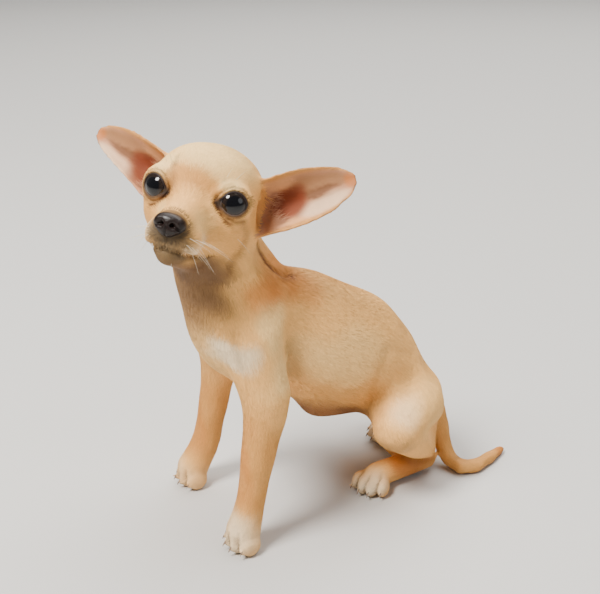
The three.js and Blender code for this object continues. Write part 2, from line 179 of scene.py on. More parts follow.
class PUPPY_PG_colours(bpy.types.PropertyGroup):
    """Colours of the coat, the bare skin and the small hard parts"""

    tan: colour("Tan", "Main colour of the coat", 246, 184, 104)
    cream: colour("Cream", "Forehead, flanks and front of the chest", 252, 210, 138)
    gold: colour("Gold", "Back, legs and tail", 218, 152, 76)
    orange: colour("Orange", "Saddle, neck and the marks on the brow", 196, 108, 32)
    white: colour("White", "Chest band, thighs and toes", 248, 226, 188)
    # A darker, thinner coat, partly painted shade: under the head, under the jaw and low on the thighs
    mauve_and_shade: colour("Throat", "Thin coat of the throat", 110, 80, 54)
    # A darker coat of the belly and groin, partly painted shade under the body
    blush_and_shade: colour("Belly", "Thin coat of the belly and groin", 140, 88, 50)
    # Brown: marks round the eyes, and painted shade in the body's folds, the toes' clefts, the groin, under
    # the eyes and under the thigh
    brown: colour("Brown", "Marks round the eyes and the toes' clefts", 92, 52, 26)
    # Grey: skin round the nose and lips, partly painted shade under the nose, on the chin and below the
    # mouth
    grey: colour("Grey", "Round the nose and along the lips", 84, 70, 50)
    # Dark: lids, lips and mouth line, and painted shade in the creases above the upper lids
    dark: colour("Dark", "Lids, lips and mouth line", 44, 32, 22)
    # Ear cup: red-brown skin, darkened as painted shade in the hollow at the ear's root
    cup: colour("Ear cup", "Bottom of the ears", 122, 56, 30)
    ear_skin: colour("Ear skin", "Bare skin inside the ears", 196, 140, 104)
    # Ear pink: pink skin painted lighter where the lower wall faces up into the light
    ear_pink_and_lit: colour("Ear pink", "Lower half of the ears' insides", 230, 190, 152)
    ear_peach: colour("Ear peach", "Lower edge and front flap of the ears", 226, 164, 110)
    ear_shade: colour("Ear shade", "Upper half of the ears' insides", 164, 116, 78)
    # Ear fold: painted shade along the fold where the upper wall turns down
    ear_fold_shade: colour("Ear umber", "Fold down the middle of the ears", 118, 76, 48)
    leather: colour("Nose", "Leather of the nose", 24, 14, 11)
    lid: colour("Lid edge", "Edge of the upper lids", 34, 20, 15)
    lid_pale: colour("Lower lid edge", "Moist edge of the lower lids", 104, 84, 72)
    horn: colour("Claws", "Horn of the claws", 150, 126, 104)
    whisker: colour("Whiskers", "Whiskers and brow hairs", 232, 218, 192)
    floor: colour("Floor", "Plain floor", 198, 196, 192)


class PUPPY_PG_sizes(bpy.types.PropertyGroup):
    """Sizes of the skin, the eyes and the hair"""

    grain: length("Skin grain", "Size of the skin's squares", 1.2)
    eye_radius: length("Eye radius", "Radius of each eyeball", 7.1)
    lid_half_width: length("Opening half width", "Half the width between an eye's corners", 4.9)
    lid_half_height: length("Opening half height", "Half the height between its lids", 4.45)
    whisker_radius: length("Whisker radius", "Radius of a whisker at its root", 0.08)
    hair_length: factor("Hair length", "Share of the usual hair length", 0.5, 1.5)
    hair_density: factor("Hair density", "Share of the usual number of tufts", 0.1, 1.0)
    seed: IntProperty(name="Seed", description="Start of the random draws", default=7)


class PUPPY_PG_stage(bpy.types.PropertyGroup):
    """Camera and lights"""

    lens: FloatProperty(
        name="Lens", description="Focal length in millimetres", subtype="DISTANCE_CAMERA", default=60.0
    )
    key: power("Key light", "Main light, from above the left", 40.0)
    fill: power("Fill light", "Weak light from behind the right", 3.0)
    top: power("Top light", "Wide light from overhead", 150.0)
    sky: FloatProperty(name="Sky", description="Strength of the even surroundings", default=0.24)


def paint(name):
    """One of the colours, as a row."""
    return np.array(getattr(bpy.context.scene.puppy_colours, name))


def size_of(name):
    """One of the lengths, in millimetres."""
    return getattr(bpy.context.scene.puppy_sizes, name) / MM


def part_value(table, node):
    """A value from a table kept by part, for a node such as ear_left."""
    return table[node] if node in table else table[node.rsplit("_", 1)[0]]


def points_of(mesh):
    """A mesh's vertices as rows of x, y and z."""
    co = np.empty(len(mesh.vertices) * 3)
    mesh.vertices.foreach_get("co", co)
    return co.reshape(-1, 3)


def set_points(mesh, co):
    """Moves a mesh's vertices to these rows."""
    mesh.vertices.foreach_set("co", co.ravel())
    mesh.update()


def edges_of(mesh):
    """A mesh's edges as pairs of vertex numbers."""
    pairs = np.empty(len(mesh.edges) * 2, np.int64)
    mesh.edges.foreach_get("vertices", pairs)
    return pairs.reshape(-1, 2)


def normals_of(mesh):
    """A mesh's vertex normals as rows."""
    n = np.empty(len(mesh.vertices) * 3, np.float32)
    mesh.vertex_normals.foreach_get("vector", n)
    return n.reshape(-1, 3).astype(float)


def triangles_of(mesh):
    """A mesh's triangles as vertex numbers."""
    mesh.calc_loop_triangles()
    rows = np.empty(len(mesh.loop_triangles) * 3, np.int64)
    mesh.loop_triangles.foreach_get("vertices", rows)
    return rows.reshape(-1, 3)


def tree_of(mesh):
    """A tree of a mesh's triangles, to find its nearest place."""
    return BVHTree.FromPolygons([Vector(p) for p in points_of(mesh)], triangles_of(mesh).tolist())


def shade_smooth(mesh):
    """Makes all of a mesh's faces smooth."""
    mesh.polygons.foreach_set("use_smooth", np.ones(len(mesh.polygons), bool))


def finished_mesh(bm, name):
    """A mesh out of a bmesh, which is freed."""
    mesh = bpy.data.meshes.new(name)
    bm.to_mesh(mesh)
    bm.free()
    return mesh


def evaluated(name, data, modifier=None, **settings):
    """The mesh that some data gives, after a modifier if one is named."""
    holder = bpy.data.objects.new(name, data)
    bpy.context.scene.collection.objects.link(holder)
    if modifier:
        added = holder.modifiers.new(name, modifier)
        for key, value in settings.items():
            setattr(added, key, value)
    shown = holder.evaluated_get(bpy.context.evaluated_depsgraph_get())
    mesh = bpy.data.meshes.new_from_object(shown)
    bpy.data.objects.remove(holder)
    return mesh


def relaxed(values, pairs, weight, rounds):
    """Values moved towards the mean of their neighbours, again and again."""
    count = len(values)
    values = values.reshape(count, -1).copy()
    a, b = pairs[:, 0], pairs[:, 1]
    degree = np.bincount(a, minlength=count) + np.bincount(b, minlength=count)
    degree = np.maximum(degree, 1)[:, None]
    weight = np.broadcast_to(weight, (count,))[:, None]
    for _ in range(rounds):
        total = np.empty_like(values)
        for axis in range(values.shape[1]):
            column = values[:, axis]
            total[:, axis] = np.bincount(a, column[b], count) + np.bincount(b, column[a], count)
        values += weight * (total / degree - values)
    return values


def smoothed(co, pairs, weight, rounds, repeats=3):
    """Places evened out over a distance, with the shrinking that this brings put back."""
    made = relaxed(co, pairs, weight, rounds)
    for _ in range(repeats - 1):
        made += relaxed(co - made, pairs, weight, rounds)
    return made


def transformed(matrix, co):
    """Rows of points moved by a matrix."""
    m = np.array(matrix)
    return co @ m[:3, :3].T + m[:3, 3]


def to_puppy(co):
    """Rows in metres in the shared frame, as millimetres in the puppy's frame."""
    return co / MM - np.array(ORIGIN)


def from_puppy(co):
    """Rows in millimetres in the puppy's frame, as metres in the shared frame."""
    return (co + np.array(ORIGIN)) * MM


def smoothstep(low, high, x):
    """0 below low, 1 above high, and smooth in between."""
    t = np.clip((x - low) / (high - low), 0.0, 1.0)
    return t * t * (3.0 - 2.0 * t)


def scaled_to_one(rows):
    """Rows brought to a length of 1."""
    return rows / np.maximum(np.linalg.norm(rows, axis=1), 1e-9)[:, None]


def swell(x, middle, width):
    """A soft hump, 1 at the middle."""
    return np.exp(-(((x - middle) / width) ** 2))


def folded(x, folds):
    """The height of a row of soft folds across x."""
    return sum(height * swell(x, middle, width) for middle, width, height in folds)


def dent(x, y, shape):
    """How deep a soft dent is at each place, given its middle, half sizes and depth."""
    (middle_x, middle_y), (half_x, half_y), depth = shape
    return depth * swell(x, middle_x, half_x) * swell(y, middle_y, half_y)


def past_runs(place, row):
    """For each stretch of a line of points: its run, and how far each place lies from it."""
    row = np.array(row, float)
    for start, end in zip(row[:-1], row[1:]):
        run = end - start
        share = np.clip((place - start) @ run / (run @ run), 0.0, 1.0)
        yield run, np.linalg.norm(place - start - share[:, None] * run, axis=1)


def near_row(place, row):
    """How far rows of places lie from a line of points."""
    return np.min([away for _, away in past_runs(place, row)], axis=0)


def along_row(place, row):
    """The way a line of points runs where it passes nearest to each place."""
    runs, away = zip(*past_runs(place, row))
    ways = np.array([run / np.linalg.norm(run) for run in runs])
    return ways[np.argmin(away, axis=0)]


def on_nodes(numbers, *nodes):
    """True for rows that belong to any of some flesh nodes."""
    return np.isin(numbers, [FLESH.index(node) for node in nodes])


def add_mesh(name, mesh, material):
    """Puts a finished mesh in the scene."""
    added = bpy.data.objects.new(name, mesh)
    bpy.context.scene.collection.objects.link(added)
    mesh.materials.append(material)
    return added


def add_piece(name, mesh, material, slot, *replaced):
    """Adds a piece of the puppy, in the place of any nodes that are named."""
    piece = add_mesh(name, mesh, material)
    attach(piece, "root")
    if replaced:
        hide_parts(*replaced)


# The skin


def eye_axes(name):
    """The way an eye looks, its way towards the nose and its way up, in the head's frame."""
    side = SIDES[name]
    _, out, up = EYES[name]
    out, up = math.radians(out), math.radians(up)
    ahead = Vector((math.sin(out) * side, -math.cos(out), math.sin(up))).normalized()
    inward = ahead.cross(Vector((0, 0, 1))).normalized() * side
    over = inward.cross(ahead) * side
    turn = Matrix.Rotation(LID_TILT * side, 3, ahead)
    return ahead, turn @ inward, turn @ over


def opening():
    """Places round the opening between the lids, as rows of inward and up, pointed at the nose's side."""
    turn = np.linspace(0.0, 2 * np.pi, OPENING_STEPS, endpoint=False)
    inward = size_of("lid_half_width") * np.cos(turn)
    up = size_of("lid_half_height") * np.sign(np.sin(turn)) * np.abs(np.sin(turn)) ** 1.12
    pull = np.clip((np.cos(turn) - CORNER_START) / (1.0 - CORNER_START), 0.0, 1.0) ** 2.2
    return np.stack([inward + CORNER_REACH * pull, up - CORNER_DROP * pull], 1)


def past_opening(inward, up):
    """How far each place lies outside the opening between the lids, less than 0 within it."""
    ring = opening()
    after = np.roll(ring, -1, axis=0)
    run = after - ring
    place = np.stack([inward, up], 1)[:, None, :]
    share = np.clip(np.sum((place - ring) * run, axis=2) / np.sum(run * run, axis=1), 0.0, 1.0)
    away = np.min(np.linalg.norm(place - ring - share[:, :, None] * run, axis=2), axis=1)
    angle = np.arctan2(ring[:, 1], ring[:, 0])
    order = np.argsort(angle)
    radius = np.linalg.norm(ring, axis=1)
    reach = np.interp(np.arctan2(up, inward), angle[order], radius[order], period=2 * np.pi)
    return np.where(np.hypot(inward, up) < reach, -away, away)


# How far the solids grow into each other before they are fused, in mm
FLESH_GROWTH = 0.25
EYE_GROWTH = 0.5

# The flesh behind the nose leather: how far back its middle lies in mm, and its share of the leather's size
NOSE_CORE_BACK = 1.6
NOSE_CORE_SHARE = 0.86


def grown_copy(into, node, grow):
    """Adds a node's shape to a bmesh, its corners merged and its surface moved out a little."""
    part = bmesh.new()
    part.from_mesh(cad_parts[node].data)
    bmesh.ops.remove_doubles(part, verts=part.verts, dist=1e-6)
    part.normal_update()
    for vert in part.verts:
        vert.co += vert.normal * grow * MM
    add_to(into, finished_mesh(part, node + "_copy"))


def add_to(into, mesh):
    """Adds a mesh to a bmesh and removes it."""
    into.from_mesh(mesh)
    bpy.data.meshes.remove(mesh)


def nose_core():
    """A smooth ellipsoid just inside the nose leather."""
    bm = bmesh.new()
    bmesh.ops.create_uvsphere(bm, u_segments=24, v_segments=12, radius=1.0)
    at = NOSE_AT + Vector((0, NOSE_CORE_BACK, 0))
    shape = Matrix.Diagonal((*(NOSE_HALF * NOSE_CORE_SHARE), 1.0))
    bmesh.ops.transform(bm, matrix=HEAD_PLACE @ Matrix.Translation(at) @ shape, verts=bm.verts)
    return finished_mesh(bm, "nose_core")


def fused_flesh(voxel):
    """The flesh nodes and eyeballs as one closed mesh of even squares."""
    bm = bmesh.new()
    for node in FLESH:
        grown_copy(bm, node, FLESH_GROWTH)
    for side in SIDES:
        grown_copy(bm, "eye_" + side, EYE_GROWTH)
    add_to(bm, nose_core())
    flesh = finished_mesh(bm, "flesh")
    fused = evaluated("flesh", flesh, "REMESH", mode="VOXEL", voxel_size=voxel * MM, adaptivity=0.0)
    bpy.data.meshes.remove(flesh)
    return fused


def largest_shell(mesh):
    """Keeps only the largest connected surface of a mesh."""
    pairs = edges_of(mesh)
    label = np.arange(len(mesh.vertices))
    while True:
        low = np.minimum(label[pairs[:, 0]], label[pairs[:, 1]])
        new = label.copy()
        np.minimum.at(new, pairs[:, 0], low)
        np.minimum.at(new, pairs[:, 1], low)
        new = new[new]
        if np.array_equal(new, label):
            break
        label = new
    keep = np.bincount(label).argmax()
    bm = bmesh.new()
    bm.from_mesh(mesh)
    bm.verts.ensure_lookup_table()
    doomed = [bm.verts[i] for i in np.nonzero(label != keep)[0]]
    bmesh.ops.delete(bm, geom=doomed, context="VERTS")
    bm.to_mesh(mesh)
    bm.free()


def node_numbers(co):
    """For each row, the number in FLESH of the node whose surface lies nearest."""
    corners, faces, owner = [], [], []
    for number, node in enumerate(FLESH):
        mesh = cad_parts[node].data
        start = len(corners)
        corners.extend(v.co.copy() for v in mesh.vertices)
        for face in mesh.polygons:
            faces.append([start + i for i in face.vertices])
            owner.append(number)
    tree = BVHTree.FromPolygons(corners, faces)
    return np.array([owner[tree.find_nearest(Vector(p))[2]] for p in co])


def finer_where(mesh, wanted):
    """Splits the faces in two each way wherever all their corners are wanted."""
    bm = bmesh.new()
    bm.from_mesh(mesh)
    bm.verts.ensure_lookup_table()
    chosen = [e for e in bm.edges if wanted[e.verts[0].index] and wanted[e.verts[1].index]]
    bmesh.ops.subdivide_edges(bm, edges=chosen, cuts=1, use_grid_fill=True, smooth=0.0)
    bm.to_mesh(mesh)
    bm.free()


def head_rows(co):
    """Rows in the shared frame as millimetres in the head's frame."""
    return transformed(TO_HEAD, to_puppy(co))


def head_ways(normals):
    """The way that rows of normals face in the head's frame."""
    return normals @ np.array(TO_HEAD)[:3, :3].T


def from_eye(head, name):
    """Rows in the head's frame, measured from the middle of an eye."""
    return head - np.array(EYES[name][0])


# How far from an eye's middle the lids and their folds reach, in mm, and a distance past all of them
LID_REGION = 12
EYE_REGION = 16
FAR_OFF = 99.0


def eye_view(head, name):
    """Rows as seen by an eye: towards the nose, up, ahead, and how far outside its opening."""
    ahead, inward, over = (np.array(v) for v in eye_axes(name))
    q = from_eye(head, name)
    a, b, c = q @ inward, q @ over, q @ ahead
    outside = np.full(len(head), FAR_OFF)
    near = (c > 0) & (np.linalg.norm(q, axis=1) < EYE_REGION)
    outside[near] = past_opening(a[near], b[near])
    return a, b, c, outside


# Lids, in mm: how far they lie over the ball, how thick they grow, and how deep the skin sinks behind them
LID_GAP = 0.15
LID_THICKNESS = 0.8
BEHIND_LID = 1.4


def shape_lids(head):
    """Draws the skin in behind each eyeball's opening, and lays the lids on the ball."""
    ball = size_of("eye_radius")
    for name in SIDES:
        q = from_eye(head, name)
        radius = np.linalg.norm(q, axis=1)
        _, _, c, outside = eye_view(head, name)
        near = (c > 0) & (radius < LID_REGION)
        rim = ball + LID_GAP + LID_THICKNESS * smoothstep(0.0, 1.3, outside)
        sunk = ball - BEHIND_LID * smoothstep(0.0, 0.5, -outside)
        target = np.where(outside > 0, rim, sunk)
        hold = np.where(outside > 0, 1.0 - smoothstep(1.6, 4.2, outside), 1.0)
        hold = np.where(near, hold, 0.0)
        scale = 1.0 + hold * (target / np.maximum(radius, 1e-6) - 1.0)
        head[:] = np.array(EYES[name][0]) + q * scale[:, None]


def past_mouth(head):
    """How far rows lie above the mouth line, and how much of the mouth they belong to."""
    over = head[:, 2] - np.interp(head[:, 1], MOUTH_BACK, MOUTH_UP)
    share = smoothstep(*MOUTH_CORNER, head[:, 1]) * smoothstep(*MOUTH_TOP, head[:, 2])
    return over, share


# Lines under the eye and its dark corner, as places towards the nose and up, and each line's depth and
# half width in mm
TEAR_TROUGH = ((6.8, -1.2), (5.4, -4.4), (3.4, -6.6), (1.0, -8.2))
BAG_FOLD = ((1.8, -6.0), (-1.5, -6.9), (-4.6, -6.2))
EYE_CORNER = (6.4, -0.6)
EYE_LINES = ((TEAR_TROUGH, 0.55, 0.55), (BAG_FOLD, 0.35, 0.5))

# Folds round the lids: how far out they lie, their half width and their height in mm
UPPER_FOLDS = ((1.75, 0.36, -0.42), (3.2, 1.1, 0.42))
LOWER_FOLDS = ((1.6, 0.36, -0.30), (2.6, 0.6, 0.18))

# The mouth's groove and lips: how far over the mouth line they lie, their half width and their height
LIP_FOLDS = ((-0.1, 0.62, -1.7), (1.8, 1.0, 0.5), (-1.9, 0.8, 0.15))

# The groove under the nose and the pads beside it: place to either side, half width and height, and the
# soft ends of them all
PHILTRUM_FOLDS = ((0.0, 0.45, -0.45), (3.4, 2.4, 0.35))
PHILTRUM_FRONT = (-33.0, -36.0)
PHILTRUM_TOP = (-14.0, -16.0)
PHILTRUM_BOTTOM = (-21.5, -20.0)


def face_relief(head):
    """How far the face's folds stand out of the plain form, in mm, less than 0 for grooves."""
    relief = np.zeros(len(head))
    for name in SIDES:
        a, b, c, outside = eye_view(head, name)
        near = (c > -1) & (outside > 0) & (outside < LID_REGION)
        upper = smoothstep(-1.2, 1.0, b)
        fold = folded(outside, UPPER_FOLDS) * upper + folded(outside, LOWER_FOLDS) * (1.0 - upper)
        place = np.stack([a, b], 1)
        for line, depth, width in EYE_LINES:
            fold -= depth * swell(near_row(place, line), 0.0, width)
        relief += np.where(near, fold, 0.0)
    over, share = past_mouth(head)
    relief += folded(over, LIP_FOLDS) * share
    front = smoothstep(*PHILTRUM_FRONT, head[:, 1])
    down = smoothstep(*PHILTRUM_TOP, head[:, 2]) * smoothstep(*PHILTRUM_BOTTOM, head[:, 2])
    relief += folded(np.abs(head[:, 0]), PHILTRUM_FOLDS) * front * down
    return relief


# Lines of the body's folds, as places in the puppy's frame
NECK_CREASE = (
    (11.9, -37.3, 135.4), (10, -35.7, 130), (11.8, -35.1, 125.9), (13.1, -33.1, 123.4),
    (13.2, -28.6, 120.1), (10.3, -23.7, 117), (4, -20, 115),
)
CHEEK_FOLD = (
    (26.5, -51, 148), (23.2, -48.2, 142.1), (20.9, -49.9, 135.9), (19.9, -53, 132.7), (20.1, -55.9, 127.3),
)
THIGH_FRONT = ((22.5, 20.5, 78), (24.4, 15.7, 70.1), (23.6, 14.3, 62.1), (20.4, 15, 52.4))
THIGH_TOP = ((23.2, 19.4, 76.7), (21.3, 27.3, 75.2), (18.3, 37.3, 70.8))
BEHIND_ELBOW = ((21.1, -28.5, 89.8), (19.2, -27, 82.6), (17, -25.8, 75.7))
SHOULDER_FRONT = ((22.4, -55, 102.7), (25.7, -55, 95.1), (26.8, -53.9, 88.5))

# How deep each fold is, and its half width, in mm
BODY_FOLDS = (
    (NECK_CREASE, 1.5, 1.4),
    (CHEEK_FOLD, 0.6, 1.8),
    (THIGH_FRONT, 0.8, 3.2),
    (THIGH_TOP, 0.4, 2.4),
    (BEHIND_ELBOW, 1.2, 2.4),
    (SHOULDER_FRONT, 0.5, 2.2),
)

# How strongly a fold is shaded, and over what half width in mm
FOLD_SHADES = (
    (NECK_CREASE, 0.95, 1.5),
    (CHEEK_FOLD, 0.4, 2.0),
    (THIGH_FRONT, 0.12, 5.0),
    (BEHIND_ELBOW, 0.35, 4.0),
    (SHOULDER_FRONT, 0.25, 2.0),
)

# The hollow of the neck behind the cheek: middle, half sizes and depth in mm
NECK_HOLLOW = ((12, -34, 128), (16, 13, 11), 3.2)

# The clefts between the toes: depth and half width in mm, and the strength and half width of their shade
CLEFT_DEPTH = 0.75
CLEFT_HALF_WIDTH = 0.55
CLEFT_SHADE = 0.6
CLEFT_SHADE_HALF_WIDTH = 0.5


def past_blob(place, middle, half):
    """How far out each place lies in an ellipsoid, 1 at its surface."""
    return np.linalg.norm((place - np.array(middle)) / np.array(half), axis=1)


def clefts(body, back, top, width):
    """For each gap between two toes, how far rows belong to it, with soft ends at its back and top."""
    for (x, y), _, turn in PAWS.values():
        to_paw = Matrix.Rotation(-math.radians(turn), 4, "Z") @ Matrix.Translation((-x, -y, 0))
        side, along, up = transformed(to_paw, body).T
        front = smoothstep(*back, along) * smoothstep(*top, up)
        front *= (np.abs(side) < TOES_HALF_WIDTH) & (along > -TOES_REACH)
        for cleft in (-1, 0, 1):
            middle = cleft * TOE_SPACING * (1 - 0.02 * along)
            yield front * swell(side, middle, width)


def body_relief(body):
    """How far the body's folds and muscles stand out of the plain form, in mm."""
    relief = np.zeros(len(body))
    for row, depth, width in BODY_FOLDS:
        relief -= depth * swell(near_row(body, row), 0.0, width)
    middle, half, depth = NECK_HOLLOW
    relief -= depth * (1.0 - smoothstep(0.0, 1.0, past_blob(body, middle, half)))
    for cleft in clefts(body, (4.5, -1.5), (12.5, 9.0), CLEFT_HALF_WIDTH):
        relief -= CLEFT_DEPTH * cleft
    return relief


def ear_view(head, name):
    """Rows as places on an ear: 0 at its root to 1 at its tip, and -1 to 1 from lower to upper edge."""
    rise, spread = EARS[name]
    rise = math.radians(rise)
    x = head[:, 0] * SIDES[name] - EAR_ROOT[0]
    z = head[:, 2] - EAR_ROOT[2]
    along = (x * math.cos(rise) + z * math.sin(rise)) / EAR_LENGTH
    over = z * math.cos(rise) - x * math.sin(rise)
    share = np.clip(along, 0.0, EAR_END)
    half = spread * EAR_HALF_WIDTH * (1.0 - share ** EAR_TIP_POWER) ** EAR_SIDE_POWER
    return along, over / half


# The ears' cups: middle and half sizes along and across the ear, and depth in mm. The fold beyond them: its
# place across the ear, its half width and its height in mm, and where along the ear it starts and ends
EAR_CUP = ((0.20, -0.05), (0.17, 0.55), 2.6)
EAR_FOLD = (-0.16, 0.09, 0.9)
EAR_FOLD_START = (0.36, 0.48)
EAR_FOLD_END = (0.86, 0.7)


def ear_shift(head):
    """How far the ears' roots are pushed backwards to hollow out their cups, in mm."""
    shift = np.zeros(len(head))
    for name in SIDES:
        along, across = ear_view(head, name)
        hollow = dent(along, across, EAR_CUP) * smoothstep(0.02, 0.10, along)
        ends = smoothstep(*EAR_FOLD_START, along) * smoothstep(*EAR_FOLD_END, along)
        fold = folded(across, (EAR_FOLD,)) * ends
        on_ear = (np.abs(across) < 1.2) & (along > 0)
        on_ear &= (head[:, 0] * SIDES[name] > 20) & (np.abs(head[:, 1] - 8) < 22)
        shift += np.where(on_ear, hollow - fold, 0.0)
    return shift


def evened(mesh, numbers, grain):
    """Evens out the fused surface, part by part, and draws it in by the coat's depth."""
    co, pairs = points_of(mesh), edges_of(mesh)
    soft = np.array([part_value(EVENING, node) for node in FLESH])[numbers]
    soft = relaxed(soft, pairs, weight=0.5, rounds=6)[:, 0]
    set_points(mesh, smoothed(co, pairs, soft * EVENING_WEIGHT, round(EVENING_ROUNDS / grain)))
    depth = np.array([part_value(COAT_DEPTH, node) for node in FLESH])[numbers] + FLESH_GROWTH
    move_out(mesh, -relaxed(depth, pairs, weight=0.5, rounds=20))


def move_out(mesh, amounts):
    """Moves a mesh's surface out by some millimetres at each row, and no lower than the ground."""
    co = points_of(mesh) + normals_of(mesh) * amounts * MM
    co[:, 2] = np.maximum(co[:, 2], 0.0)
    set_points(mesh, co)


# Where the skin's squares are halved: in a box round the face, from its lowest corner to its highest, and
# about each paw, within some way of a place ahead of its knuckles and some way up
FACE_BOX = ((-23, -99, -28), (23, -4, 14))
PAW_AHEAD = 5
PAW_REACH = 15
PAW_TOP = 14

# Where they are halved again: round the eyes, ahead of a place on the head, and along the mouth line
EYE_REACH = 11.5
EYE_FRONT = -12.5
MOUTH_REACH = 2.0


def near_face_or_toes(co):
    """True for rows on the front of the face or on a paw."""
    head, body = head_rows(co), to_puppy(co)
    low, high = FACE_BOX
    wanted = np.all((head > low) & (head < high), axis=1)
    for (x, y), _, _ in PAWS.values():
        away = np.hypot(body[:, 0] - x, body[:, 1] - y + PAW_AHEAD)
        wanted |= (away < PAW_REACH) & (body[:, 2] < PAW_TOP)
    return wanted


def near_eyes_or_mouth(co):
    """True for rows close round an eye or along the mouth."""
    head = head_rows(co)
    close = np.zeros(len(head), bool)
    for name in SIDES:
        close |= np.linalg.norm(from_eye(head, name), axis=1) < EYE_REACH
    close &= head[:, 1] < EYE_FRONT
    over, share = past_mouth(head)
    return close | ((np.abs(over) < MOUTH_REACH) & (share > 0))


def skin_mesh(grain):
    """The whole skin, with its squares smaller on the face, the paws and round the eyes and mouth."""
    mesh = fused_flesh(grain)
    largest_shell(mesh)
    evened(mesh, node_numbers(points_of(mesh)), grain)
    finer_where(mesh, near_face_or_toes(points_of(mesh)))
    finer_where(mesh, near_eyes_or_mouth(points_of(mesh)))
    head = head_rows(relaxed(points_of(mesh), edges_of(mesh), weight=0.4, rounds=3))
    shape_lids(head)
    head[:, 1] += ear_shift(head)
    set_points(mesh, from_puppy(transformed(TO_BODY, head)))
    relief = face_relief(head_rows(points_of(mesh))) + body_relief(to_puppy(points_of(mesh)))
    move_out(mesh, relief[:, None])
    shade_smooth(mesh)
    return mesh


# Colours

# Patches of colour: middle, half sizes in mm, colour, strength, and whether both sides have one
BODY_PATCHES = (
    ((0, 6, 108), (9, 62, 12), "gold", 0.65, False),
    ((6, -30, 120), (22, 16, 11), "orange", 0.65, False),
    ((12, -18, 112), (10, 12, 7), "orange", 0.4, True),
    ((20, -40, 115), (8, 9, 9), "orange", 0.65, True),
    ((0, 54, 50), (14, 16, 26), "gold", 0.6, False),
    ((0, 60, 40), (9, 10, 24), "orange", 0.6, False),
    ((25, -4, 80), (9, 24, 14), "cream", 0.45, True),
    ((20, -6, 58), (13, 24, 9), "gold", 0.6, True),
    ((0, -62, 88), (24, 12, 16), "cream", 0.5, False),
    # The throat: darker coat with painted shade under the head
    ((0, -62, 112), (20, 12, 18), "mauve_and_shade", 0.55, False),
    ((8, -64, 122), (17, 12, 17), "mauve_and_shade", 0.8, False),
    ((22, -56, 93), (17, 10, 7), "white", 0.8, True),
    ((25, -38, 100), (8, 8, 14), "cream", 0.7, True),
    ((30, -37, 81), (8, 10, 9), "cream", 0.7, True),
    ((20, -24, 84), (12, 14, 12), "cream", 0.4, True),
    # The belly: darker coat with painted shade under the body
    ((0, -6, 42), (22, 36, 18), "blush_and_shade", 0.9, False),
    # The groin: painted shade
    ((13, 10, 46), (13, 13, 9), "brown", 0.7, True),
    ((34, 23, 54), (10, 10, 11), "white", 0.4, True),
    # Low on the thighs: darker coat with painted shade
    ((33, 17, 33), (12, 12, 9), "mauve_and_shade", 0.4, True),
    ((22, 8, 56), (7, 12, 10), "gold", 0.5, True),
    ((30, 42, 50), (12, 14, 16), "cream", 0.35, True),
    ((26.5, -45, 42), (12, 13, 34), "gold", 0.95, False),
    ((27, -54, 40), (7, 5, 26), "orange", 0.4, False),
    ((-30, -42, 42), (12, 13, 34), "gold", 0.95, False),
    ((-31, -50, 36), (7, 5, 24), "orange", 0.4, False),
    ((27.3, -57, 6), (13, 14, 14), "white", 0.8, False),
    ((-33, -56, 5), (13, 13, 12), "white", 0.4, False),
    ((15, 42, 11), (11, 15, 10), "orange", 0.75, False),
    # Under the thigh, over the hind foot: painted shade
    ((14, 50, 14), (9, 10, 8), "brown", 0.4, False),
    ((-20, 62, 14), (9, 12, 10), "gold", 0.8, False),
    ((19, 14, 4), (12, 10, 9), "white", 0.9, False),
    ((-22, 48, 4), (11, 9, 9), "white", 0.9, False),
    ((12, 66, 20), (20, 20, 22), "gold", 0.7, False),
    ((20, 88, 6), (22, 22, 12), "gold", 0.9, False),
    ((18, 98, 4), (12, 10, 10), "orange", 0.6, False),
)
HEAD_PATCHES = (
    ((0, -8, 15), (22, 22, 12), "cream", 0.85, False),
    ((0, 18, 8), (22, 16, 20), "tan", 0.7, False),
    ((19, 4, 6), (6, 12, 12), "tan", 0.5, True),
    ((0, -21, 4.5), (7, 6, 6), "gold", 0.9, False),
    ((7, -20, 3), (4, 5, 6), "gold", 0.75, True),
    ((0, -28, -3), (5, 6, 4), "tan", 0.5, False),
    ((14.5, -17, 8.2), (7, 5, 2.6), "cream", 0.85, True),
    ((9.5, -19, -0.5), (3.4, 4.5, 5), "brown", 0.7, True),
    ((10.2, -18, 6.2), (1.6, 2.4, 1.6), "brown", 0.55, True),
    ((11, -16.6, 9), (1.6, 2.6, 1.6), "brown", 0.35, True),
    ((9, -27, -9), (5, 8, 6), "cream", 0.5, True),
    ((17, -14, -13), (10, 10, 9), "gold", 0.45, True),
    # Under the nose: grey skin with painted shade
    ((5, -38, -17.5), (9, 6, 4.8), "grey", 0.85, True),
    ((10, -29, -17), (5, 7, 4.5), "white", 0.5, True),
    # The chin: grey skin with painted shade
    ((0, -34, -24.5), (13, 12, 5), "grey", 0.85, False),
    # Under the jaw: darker coat with painted shade
    ((8, -22, -28), (11, 13, 6), "mauve_and_shade", 0.7, True),
    ((0, -6, -29), (20, 20, 9), "mauve_and_shade", 0.85, False),
    ((24, -3, -3), (4, 8, 9), "gold", 0.4, True),
)


# The waves that push the patches' edges about along x, y and z: turns in each millimetre, and heights in mm
WAVES = ((0.21, 0.13, 0.17), (0.11, 0.23, 0.19), (0.17, 0.19, 0.12))
WAVE_HEIGHT = 1.6
CROSS_WAVE_HEIGHT = 0.9


def warped(co):
    """Rows pushed about by a few millimetres, so that no patch has a plain edge."""
    moved = co.copy()
    for axis, (kx, ky, kz) in enumerate(WAVES):
        wave = np.sin(co @ np.array((kx, ky, kz)) + axis)
        cross = np.sin(co @ np.array((kz * 2.1, -kx * 1.7, ky * 2.3)) + 2 * axis)
        moved[:, axis] += WAVE_HEIGHT * wave + CROSS_WAVE_HEIGHT * cross
    return moved


